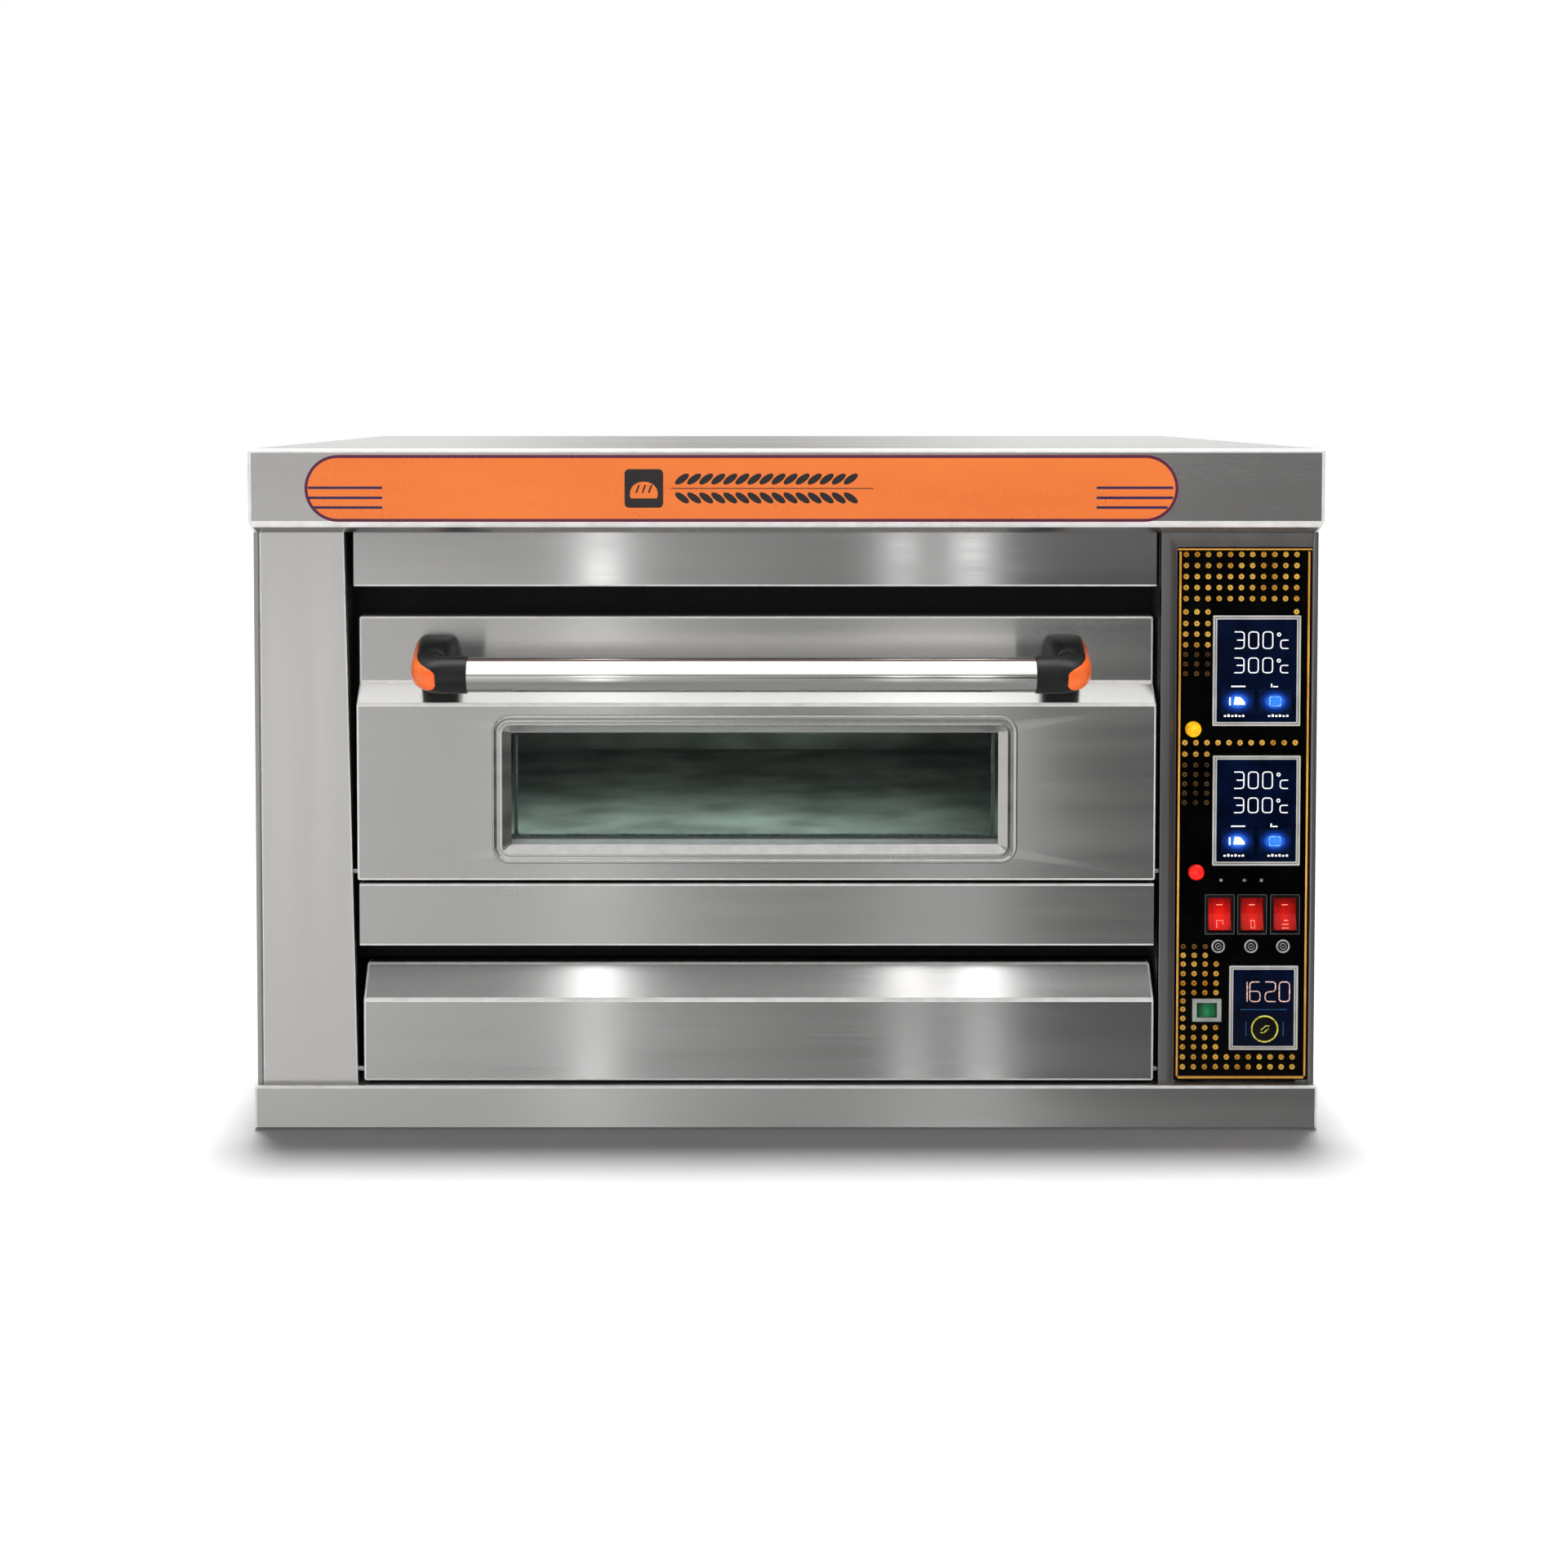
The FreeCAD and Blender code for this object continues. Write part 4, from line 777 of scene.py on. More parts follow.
def make_gasket():
    """A flat rope round the mouth with its outer edges rounded."""
    x, y, z = extent("door_gasket")
    section = [(0, y[0]), (0, y[1] - 1.2), (1.6, y[1] - 0.2), (5.0, y[1]), (8.4, y[1] - 0.2),
               (10.0, y[1] - 1.2), (10.0, y[0])]
    mesh = bmesh.new()
    loft(mesh, [inset_ring(x, z, 14.0, inset, py, 6) for inset,
                py in section] + [inset_ring(x, z, 14.0, 0, y[0], 6)])
    bmesh.ops.remove_doubles(mesh, verts=mesh.verts, dist=1e-6)
    outward(mesh)
    make_piece("gasket_rope", mesh, gasket_braid, "door", ["door_gasket"], crease=60.0)


# ---------------------------------------------------------------- handle
tube_x, tube_y, tube_z = extent("handle_tube")
TUBE_Y = (tube_y[0] + tube_y[1]) / 2
TUBE_Z = (tube_z[0] + tube_z[1]) / 2
BEND = 22.5                     # radius of the bracket's turn
HALF_SOCKET = 20.4              # half the bracket's width at the tube


def bracket_section(s, outer, inward):
    """Centre, outward direction, half sizes and squareness of the bracket at a station: the
    socket before 0, the turn from 0 to 1, the arm back to the door from 1 to 2."""
    rise = min(max((s - 0.4) / 1.4, 0.0), 1.0)
    rise = rise * rise * (3 - 2 * rise)
    up = TUBE_Z + 10.5 * rise
    half_up = HALF_SOCKET + 3.6 * rise
    if s <= 1.0:
        turn = math.radians(90 * max(s, 0.0))
        out = Vector((-inward * math.sin(turn), -math.cos(turn), 0.0))
        centre = Vector((outer + inward * 2 * BEND, TUBE_Y + BEND, up)) + out * BEND
        centre.x += inward * max(-s, 0.0) * 22.0
        return centre, out, HALF_SOCKET, half_up, 2.0 + rise
    t = s - 1.0
    centre = Vector((outer + inward * BEND, TUBE_Y + BEND + t * (HEAD_Y - TUBE_Y - BEND), up))
    return centre, Vector((-inward, 0.0, 0.0)), HALF_SOCKET + 2.1 * t, half_up, 2.0 + rise + 2.0 * t


def bracket_point(s, angle, outer, inward, proud=0.0):
    """A place on the bracket's rounded-square skin, or proud of it."""
    centre, out, half_out, half_up, power = bracket_section(s, outer, inward)
    c, u = math.cos(angle), math.sin(angle)
    across = math.copysign(abs(c) ** (2 / power), c) * (half_out + proud)
    up = math.copysign(abs(u) ** (2 / power), u) * (half_up + proud)
    place = centre + out * across + Vector((0, 0, up))
    return at(place.x, place.y, place.z)


def smooth_between(table, t):
    """The values of a table of rows at t, its first column, eased from row to row."""
    for low, high in zip(table, table[1:]):
        if t <= high[0]:
            part = (t - low[0]) / (high[0] - low[0])
            return [a + (b - a) * part for a, b in zip(low[1:], high[1:])]
    return table[-1][1:]


CAP_EDGE = [                    # station, lower and upper edge of the orange cap in degrees
    (0.15, -10.0, -4.0), (0.19, -32.0, 12.0), (0.28, -48.0, 22.0), (0.42, -57.0, 32.0),
    (0.62, -60.0, 42.0), (0.82, -56.0, 49.0), (1.02, -42.0, 53.0), (1.25, -16.0, 55.0), (1.5, 18.0, 55.0),
    (1.72, 38.0, 54.0), (1.9, 47.0, 52.0),
]


def make_brackets():
    """Moulded brackets: a socket on the tube, a tight turn and an arm that spreads to the door."""
    left, right = extent("handle_brackets")[0]
    count = 44
    black, caps = bmesh.new(), bmesh.new()
    for outer, inward in ((left, 1), (right, -1)):
        stations = [-1.0, -0.96] + [s / 20 for s in range(-16, 41)]
        rings = []
        for s in stations:
            shrink = -1.4 if s == -1.0 else 0.0
            rings.append([bracket_point(s, 2 * math.pi * k / count, outer, inward,
                                        shrink) for k in range(count)])
        loft(black, rings, True, True)
        rows, columns = 46, 18
        grid = []
        for row in range(rows + 1):
            s = CAP_EDGE[0][0] + (CAP_EDGE[-1][0] - CAP_EDGE[0][0]) * row / rows
            low, high = smooth_between(CAP_EDGE, s)
            line = []
            for column in range(columns + 1):
                t = column / columns
                rim = max(abs(2 * t - 1), abs(2 * row / rows - 1)) ** 4
                angle = math.radians(low + (high - low) * t)
                line.append(caps.verts.new(bracket_point(s, angle, outer, inward, 0.8 - 1.0 * rim)))
            grid.append(line)
        for a, b in zip(grid, grid[1:]):
            for step in range(columns):
                caps.faces.new((a[step], a[step + 1], b[step + 1], b[step]))
    outward(black)
    for face in caps.faces:
        face.normal_update()
        middle = face.calc_center_median()
        inner = Vector((middle.x - math.copysign(20 * MM, middle.x), middle.y + 20 * MM, TUBE_Z * MM))
        if face.normal.dot(middle - inner) < 0:
            face.normal_flip()
    make_piece("bracket_mouldings", black, black_nylon, "door", ["handle_brackets"],
               crease=50.0)
    make_piece("bracket_caps", caps, orange_abs, "door", ["handle_caps"], crease=70.0)


def make_tube():
    """The handle's bar; its ends stop inside the brackets' turns."""
    mesh = bmesh.new()
    hidden, radius, edge = 20.0, 19.0, 1.2
    length = tube_x[1] - tube_x[0] - 2 * hidden
    profile = [(radius - 1.5, 0), (radius, edge), (radius, length / 2), (radius, length - edge),
               (radius - 1.5, length)]
    turned(mesh, at(tube_x[0] + hidden, TUBE_Y, TUBE_Z), profile, "x", 96)
    outward(mesh)
    make_piece("handle_bar", mesh, tube_steel, "door", ["handle_tube"], crease=40.0)


# ---------------------------------------------------------------- decal
LOAF_X = -158.5                 # middle of the badge


def make_decal_print():
    """Ink on the orange film: a border, three lines at each end, and a loaf and an ear of wheat."""
    face = decal_y[0]
    radius = (decal_z[1] - decal_z[0]) / 2
    border = [(0.1, face - 0.02), (0.1, face - 0.08), (3.4, face - 0.08), (3.4, face - 0.02)]
    mesh = bmesh.new()
    loft(mesh, [inset_ring(decal_x, decal_z, radius, inset, y, 24) for inset, y in border])
    face_out(mesh)
    make_piece("decal_border", mesh, maroon_ink, "cabinet")
    mesh = bmesh.new()
    for x in ((decal_x[0] + 4.0, decal_x[0] + 86.5), (decal_x[1] - 91.0, decal_x[1] - 6.0)):
        for z in (decal_z[0] + 16.0, decal_z[0] + 26.8, decal_z[0] + 38.0):
            inner = 0.0 if z > decal_z[0] + 20 else 6.0
            span = (x[0] + inner, x[1]) if x[0] < 0 else (x[0], x[1] - inner)
            slab(mesh, span, (face - 0.09, face - 0.02), (z - 1.4, z + 1.4))
    outward(mesh)
    make_piece("decal_lines", mesh, navy_ink, "cabinet")

    middle = (decal_z[0] + decal_z[1]) / 2
    badge = ((-180.0, -137.0), (middle - 21.5, middle + 21.5))
    mesh = bmesh.new()
    loft(mesh, [inset_ring(*badge, 5.0, 0.0, y, 8) for y in (face - 0.01, face - 0.04)], False, True)
    loaf = []
    for step in range(33):
        a = math.pi * step / 32
        loaf.append((LOAF_X + 15.5 * math.cos(a), middle - 7.5 + 15.0 * math.sin(a) ** 0.8))
    loaf += [(-173.0, middle - 11.0), (-144.0, middle - 11.0)]
    loft(mesh, [level(loaf, y) for y in (face - 0.05, face - 0.1)], False, True, 1)
    for step in (-7.0, 0.0, 7.0):
        cut = [(LOAF_X + step + x, middle + z) for x,
               z in ((-2.6, -5.0), (-0.6, -5.0), (2.6, 4.0), (0.6, 4.0))]
        loft(mesh, [level(cut, y) for y in (face - 0.1, face - 0.14)], False, True)
    face_out(mesh)
    front_facing(mesh, 0.9)
    make_piece("decal_badge", mesh, [black_ink, orange_film], "cabinet")
    strokes("decal_stem", [([at(-128.0, face, middle), at(97.0, face, middle)], False)], 0.55, black_ink,
            "cabinet")
    tree, sizes = grain_tree()
    places = [at(-116.0 + step * 13.4, face - 0.06,
                 middle + side * 10.5) for step in range(15) for side in (-1, 1)]
    sizes.update({"Grain length": 9.4 * MM, "Grain width": 3.9 * MM})
    repeated("decal_grains", places, tree, sizes, black_ink, "cabinet")


# ---------------------------------------------------------------- control column and panel
column_x, column_y, column_z = extent("control_column")
panel_x, panel_y, panel_z = extent("control_panel")
PANEL_FACE = panel_y[0]


def on_panel(x, z):
    """A place on the panel, from its lower left corner."""
    return panel_x[0] + x, panel_z[0] + z


def make_column():
    """Frame round the panel: a flat strip, then walls that slope back to the panel."""
    mesh = bmesh.new()
    levels = [
        (column_x[0], column_z[1], column_y[0] + 8.0), (column_x[0], column_z[1], column_y[0]),
        (column_x[0] + 10.5, column_z[1] - 8.5, column_y[0]),
        (column_x[0] + 16.5, column_z[1] - 14.5, column_y[0] + 3.5),
        (column_x[0] + 20.0, column_z[1] - 19.0, column_y[0] + 3.5),
    ]
    rows = [[mesh.verts.new(p) for p in (at(x, y, column_z[0]), at(x, y, z), at(column_x[1], y, z))]
            for x, z, y in levels]
    for a, b in zip(rows, rows[1:]):
        for step in range(2):
            if (a[step].co - b[step].co).length + (a[step + 1].co - b[step + 1].co).length > 0:
                mesh.faces.new((a[step], a[step + 1], b[step + 1], b[step]))
    # the column's darker steel is painted shade
    sheet_piece("column_sheet", mesh, [steel_column_painted_shade, steel_column_painted_shade], "control_column", 0.8, 2, THIN_SHEET)


def make_panel_print():
    """Gold border lines on the black panel."""
    mesh = bmesh.new()
    left, right = panel_x[0] + 2.3, panel_x[1] - 2.0
    low, high = panel_z[0] + 1.4, panel_z[1] - 1.2
    y = (PANEL_FACE - 0.12, PANEL_FACE - 0.01)
    slab(mesh, (left, left + 2.2), y, (low, high - 3.4))
    slab(mesh, (right - 2.2, right), y, (low, high - 3.4))
    slab(mesh, (left, right), y, (low, low + 2.8))
    slab(mesh, (left - 2.0, right + 2.0), y, (high - 1.8, high))
    outward(mesh)
    make_piece("panel_border", mesh, gold_ink, "cabinet")


BEAD_START, BEAD_PITCH = 9.8, 12.4
THREE, FOUR, ALL = range(3), range(4), range(11)
BEAD_ROWS = (                   # heights of the rows, their filled columns, bright or worn
    ([595.2 - 12.4 * step for step in range(5)], ALL, True), ([530.7], (0, 1, 2, 10), True),
    ([517.6 - 12.0 * step for step in range(3)], THREE, True),
    ([482.7 - 10.8 * step for step in range(3)], THREE, False),
    ([383.2], ALL, True), ([370.2], THREE, True),
    ([357.8 - 10.6 * step for step in range(5)], THREE, False),
    ([152.0], THREE, False), ([142.0], THREE, True), ([132.0, 121.1, 110.2, 99.5], FOUR, True),
    ([90.0, 80.6, 70.1], (0,), True), ([59.7, 48.3, 37.6], FOUR, True), ([26.1, 14.8], ALL, True),
)


def bead_places(bright):
    """Bright or worn beads of the panel, in rows from the top down."""
    places = []
    for heights, picked, shines in BEAD_ROWS:
        for z in heights:
            if shines == bright:
                places += level([on_panel(BEAD_START + BEAD_PITCH * k, z) for k in picked],
                                PANEL_FACE - 0.2)
    return places


def make_beads():
    """The gold beads, and the worn ones with a thinner wire."""
    tree, sizes = bead_tree()
    repeated("panel_beads", bead_places(True), tree, sizes, bead_gold, "cabinet")
    repeated("panel_beads_worn", bead_places(False), tree, {**sizes, "Wire radius": 1.1 * MM}, bead_worn,
             "cabinet")


# displays on the panel: middle, width and height; and the middles of smaller things
DISPLAYS = ((89.5, 464.5, 98.5, 124.5), (90.5, 306.5, 98.5, 124.5), (100.5, 82.5, 77.5, 96.0))
TIMER_BUTTON = (102.0, 58.5)
YELLOW_LAMP, RED_LAMP = (19.0, 398.5), (23.5, 236.5)
INDICATORS = [(x, 152.5) for x in (49.0, 86.0, 122.0)]
STATUS_LAMPS = [(x, 227.5) for x in (51.5, 78.0, 97.0)]


def make_display_frames():
    """Pale moulded frames with a grey groove round them."""
    mesh = bmesh.new()
    front = extent("display_bezels")[1][0]
    for x, z, width, height in DISPLAYS:
        px, pz = on_panel(x, z)
        span_x, span_z = (px - width / 2, px + width / 2), (pz - height / 2, pz + height / 2)
        bands = (
            ([(0.0, front + 1.7), (0.0, front + 0.3), (0.3, front), (1.9, front), (2.1, front + 0.3)], 0),
            ([(2.1, front + 0.3), (2.1, front + 0.5), (2.9, front + 0.5), (2.9, front + 0.3)], 1),
            ([(2.9, front + 0.3), (3.0, front), (4.2, front), (4.5, front + 0.3), (4.5, front + 1.6)], 0),
        )
        for profile, index in bands:
            loft(mesh, [inset_ring(span_x, span_z, 1.0, inset, y, 2) for inset, y in profile],
                 index=index)
    bmesh.ops.remove_doubles(mesh, verts=mesh.verts, dist=1e-6)
    outward(mesh)
    front_facing(mesh, 0.6)
    make_piece("display_frames", mesh, [pale_abs, groove_abs], "cabinet", ["display_bezels"])


def key_quads(places, size, y):
    """Flat quads for the lit keys, each with its own 0 to 1 map."""
    mesh = bmesh.new()
    layer = mesh.loops.layers.uv.new("key")
    for x, z in places:
        outline = [(x + u * size[0] / 2, z + v * size[1] / 2) for u, v in CORNERS]
        face = mesh.faces.new([mesh.verts.new(p) for p in level(outline, y)])
        for loop, (u, v) in zip(face.loops, CORNERS):
            loop[layer].uv = ((u + 1) / 2, (v + 1) / 2)
    return mesh


def make_display_signs():
    """Lit figures, icons and keys behind the display glasses, and the timer's ring and mark."""
    y = extent("display_glasses")[1][0] - 0.15
    white, quads, icons = [], [], bmesh.new()
    for x, z, _, _ in DISPLAYS[:2]:
        px, pz = on_panel(x, z)
        for base, tall in ((25.2, 18.6), (-2.2, 16.6)):
            for sign, left in (("3", -25.2), ("0", -9.2), ("0", 6.8)):
                white += figure(sign, px + left, pz + base, 10.8, tall, y)
            white += figure("C", px + 26.6, pz + base, 8.6, tall * 0.5, y)
            white.append((circle(at(px + 24.6, y, pz + base + tall - 3.0), 1.7, "y", 10), True))
        for side in (-21.0, 21.0):
            quads.append((px + side, pz - 34.5))
        icon = ((-4.6, -4.4), (8.4, -4.4), (8.0, -1.2), (3.0, 4.2), (-3.2, 4.6))
        cover = [(px - 21.0 + u, pz - 34.0 + v) for u, v in icon]
        loft(icons, [level(cover, depth) for depth in (y, y - 0.12)], False, True)
        for left, wide, low, tall in ((-30.6, 1.7, -39.0, 9.0), (-28.5, 16.0, -18.4, 1.5),
                                      (16.0, 1.6, -18.6, 4.0), (18.4, 5.6, -18.6, 1.4)):
            slab(icons, (px + left, px + left + wide), (y - 0.12, y), (pz + low, pz + low + tall))
        for side in (-36.5, 13.0):
            for step, tall in enumerate((1.9, 2.9, 2.0, 2.6, 1.8, 2.3)):
                start = px + side + step * 4.1
                slab(icons, (start, start + 2.5), (y - 0.12, y), (pz - 52.0, pz - 52.0 + tall))
    frames = []
    for px, pz in quads[1::2]:
        frames.append((level(soft_box(px, pz, 6.0, 5.0, 1.4), y - 0.1), True))
    strokes("display_figures", white, 0.72, white_light, "cabinet")
    strokes("display_key_frames", frames, 0.6, blue_light, "cabinet")
    outward(icons)
    make_piece("display_icons", icons, white_light, "cabinet")
    mesh = key_quads(quads, (37.0, 27.0), y + 0.05)
    face_out(mesh)
    make_piece("display_key_glow", mesh, key_glow, "cabinet")

    px, pz = on_panel(*DISPLAYS[2][:2])
    rose = []
    for sign, left in (("1", -25.8), ("6", -15.6), ("2", 1.8), ("0", 17.6)):
        rose += figure(sign, px + left, pz + 7.2, 11.6, 22.4, y)
    strokes("timer_figures", rose, 0.7, rose_light, "cabinet")
    bx, bz = on_panel(*TIMER_BUTTON)
    dashes = [(level([(bx + side, bz - 8.0), (bx + side, bz + 8.0)], y), False) for side in (-21.0, 21.0)]
    ring = circle(at(bx, y, bz), 14.6, "y", 48)
    strokes("timer_ring", [(ring, True)], 1.0, yellow_light, "cabinet")
    dashes.append((level([(px - 26.0, pz - 2.0), (px + 26.0, pz - 2.0)], y), False))
    strokes("timer_lines", dashes, 0.5, blue_dim, "cabinet")
    front = extent("timer_button")[1][0]
    arrow = [(level([(bx + side * x, bz + side * z) for x, z in ((-4.5, -1.0), (1.0, 3.8), (5.0, 3.8))],
                    front), False)
             for side in (1, -1)]
    strokes("button_mark", arrow, 0.6, yellow_light, "timer_button")


def surface_y(node, x, z):
    """Where a line from the front meets a CAD node, in millimetres back."""
    ahead = at(x, -400.0, z)
    hit, place, _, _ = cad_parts[node].ray_cast(ahead, Vector((0.0, 1.0, 0.0)))
    return (place.y - FRONT) / MM if hit else PANEL_FACE


def make_switch_marks():
    """Outlines round the switches and the figures moulded into the lit rockers."""
    outline = []
    for number in (1, 2, 3):
        node = "red_rocker_%d" % number
        x, _, z = extent(node)
        px, pz = (x[0] + x[1]) / 2, (z[0] + z[1]) / 2
        outline.append((level(soft_box(px, pz, 16.3, 22.3, 1.6), PANEL_FACE - 2.5), True))
        marks = []
        low = pz - 11.0
        shapes = {
            1: [([(px - 3.6, low - 4), (px - 3.6, low + 4), (px + 3.6, low + 4), (px + 3.6, low)],
                 False)],
            2: [([(px - 1.4, low - 4), (px + 2.6, low - 4), (px + 2.6, low + 4), (px - 1.4, low + 4)],
                 True)],
            3: [([(px - 3.6, low - 4), (px + 3.6, low - 4)], False),
                ([(px - 3.6, low), (px + 3.6, low)], False),
                ([(px - 1.0, low + 4), (px + 3.6, low + 4)], False)],
        }[number]
        shapes.append(([(px - 3.4, pz + 10.5), (px + 3.4, pz + 10.5)], False))
        for points, cyclic in shapes:
            marks.append(([at(u, surface_y(node, u, v) - 0.1, v) for u, v in points], cyclic))
        strokes("rocker_mark_%d" % number, marks, 0.5, mark_light, node)
    strokes("switch_outlines", outline, 0.32, groove_abs, "cabinet")


def dome(mesh, x, z, face, radius, height, steps=8):
    """A domed lens that stands on a face."""
    profile = [(radius, 0.0), (radius, -1.0)]
    for step in range(1, steps + 1):
        a = math.pi / 2 * step / steps
        profile.append((max(radius * math.cos(a), 0.3), -1.0 - (height - 1.0) * math.sin(a)))
    turned(mesh, at(x, face, z), profile, "y", 40)


def make_lamps():
    """Pilot lamps, chrome-ringed indicators and the small status lamps."""
    for node, place, material, slot in (("yellow_pilot_lamp", YELLOW_LAMP, yellow_lamp, "yellow_lamp"),
                                        ("red_pilot_lamp", RED_LAMP, red_lamp, "red_lamp")):
        x, z = on_panel(*place)
        mesh = bmesh.new()
        dome(mesh, x, z, PANEL_FACE, 9.0, PANEL_FACE - extent(node)[1][0])
        outward(mesh)
        make_piece(node + "_dome", mesh, material, "cabinet", [node], crease=60.0)
    rings, lenses, dots, crosses = bmesh.new(), bmesh.new(), bmesh.new(), []
    for place in INDICATORS:
        x, z = on_panel(*place)
        profile = [(5.6, 0.0), (5.6, -1.2), (6.0, -1.8), (6.8, -2.0), (7.6, -1.7), (7.9, -1.0),
                   (7.9, 0.0)]
        centre = at(x, PANEL_FACE, z)
        loft(rings, [circle(centre + Vector((0, d * MM, 0)), r, "y", 40) for r, d in profile])
        turned(lenses, centre, [(5.0, 0.0), (5.0, -0.9), (4.4, -1.3), (2.0, -1.6), (0.4, -1.7)], "y", 32)
        crosses.append((circle(at(x, PANEL_FACE - 1.6, z), 3.3, "y", 20), True))
        crosses.append((level([(x - 1.8, z - 1.2), (x + 1.8, z + 1.2)], PANEL_FACE - 1.8), False))
    for place in STATUS_LAMPS:
        x, z = on_panel(*place)
        dome(dots, x, z, PANEL_FACE, 1.9, 1.9, 4)
    for mesh in (rings, lenses, dots):
        outward(mesh)
    front_facing(rings, 0.3)
    make_piece("indicator_rings", rings, chrome, "cabinet", ["indicator_bezels"],
               crease=60.0)
    make_piece("indicator_domes", lenses, indicator_glass, "cabinet", ["indicator_lenses"])
    make_piece("status_dots", dots, dot_light, "cabinet", ["indicator_lenses"])
    strokes("indicator_marks", crosses, 0.35, chrome, "cabinet")


# ---------------------------------------------------------------- feet and rear
def make_feet():
    """Rubber feet on studs."""
    x, y, _ = extent("feet")
    mesh, studs = bmesh.new(), bmesh.new()
    radius = 22.0
    profile = [(19.0, 0.0), (21.2, 0.8), (radius, 2.6), (20.8, 11.5), (18.6, 13.8), (8.6, 14.0)]
    for px in (x[0] + radius, x[1] - radius):
        for py in (y[0] + radius, y[1] - radius):
            foot = at(px, py, 0.0)
            turned(mesh, foot, profile, "z", 48)
            turned(studs, foot, [(8.0, 13.0), (8.0, 46.0), (7.0, 48.2)], "z", 24)
    for part in (mesh, studs):
        outward(part)
    make_piece("rubber_feet", mesh, rubber, "cabinet", ["feet"], crease=50.0)
    make_piece("foot_studs", studs, zinc, "cabinet", ["feet"])


def make_rear_screws():
    """Two rows of screws along the back panel's edges."""
    x, y, z = extent("rear_screws")
    places = []
    head = 5.0                      # radius of a screw's head
    for share in (0.0, 0.248, 0.5, 0.752, 1.0):
        for height in (z[0] + head, z[1] - head):
            places.append(at(x[0] + head + (x[1] - x[0] - 2 * head) * share, y[0] + 0.8, height))
    tree, sizes = screw_tree()
    repeated("rear_panel_screws", places, tree, sizes, zinc, "cabinet", ["rear_screws"])


# ---------------------------------------------------------------- building
for build in (make_canopy, make_plinth, make_side_panels, make_left_front, make_fronts, make_flap,
              make_door, make_window_frame, make_gasket, make_brackets, make_tube, make_decal_print,
              make_column, make_panel_print, make_beads, make_display_frames, make_display_signs,
              make_switch_marks, make_lamps, make_feet, make_rear_screws):
    build()


# the nodes that no drawn piece stands for
NODE_FINISHES = [
    (zinc, "frame_members hinge_bushes chamber_lamp_housing door_pins"), (steel_rear, "back_panel"),
    (orange_film, "decal_band"), (inner_steel, "partition_walls flue_duct door_inner_skin"),
    # the chamber front frame is painted near black as shade in the slot over the door
    (black_slot_painted_shade, "chamber_front_frame"), (liner_steel, "chamber_liner"), (stone, "deck_plate"),
    (mineral_slab, "chamber_insulation door_insulation"), (oven_lamp, "chamber_lamp_lens"),
    (chrome, "thermocouples"), (burner_tube, "lower_burners upper_burners"), (gas_pipe, "gas_pipes"),
    (brass, "solenoid_valves"), (ceramic, "igniters"), (grey_abs, "power_supply_and_terminals"),
    (black_nylon, "cable_gland"), (black_enamel, "control_panel"), (display_lens, "display_glasses"),
    (black_abs, "controller_housings switch_housings rocker_bezels timer_button"),
    (switch_grey_abs, "green_switch_bezel"), (glass, "outer_glass inner_glass"),
    (gasket_braid, "glass_spacers"),
]
for node, *tones in (("red_rocker_1", "#1c0202", "#8c0404", "#ff1e0e", 0.8),
                     ("red_rocker_2", "#1c0202", "#840606", "#f2200f", 0.72),
                     ("red_rocker_3", "#1a0202", "#7c0404", "#ea1c0e", 0.7),
                     ("green_rocker", "#021008", "#04371c", "#2f9c60", 0.5)):
    NODE_FINISHES.append((rocker_light(node, *tones), node))
for material, nodes in NODE_FINISHES:
    for node in nodes.split():
        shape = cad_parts[node].data
        shape.materials.clear()
        shape.materials.append(material)


# ---------------------------------------------------------------- studio
def grey(value):
    """An even grey, linear."""
    return (value, value, value, 1.0)


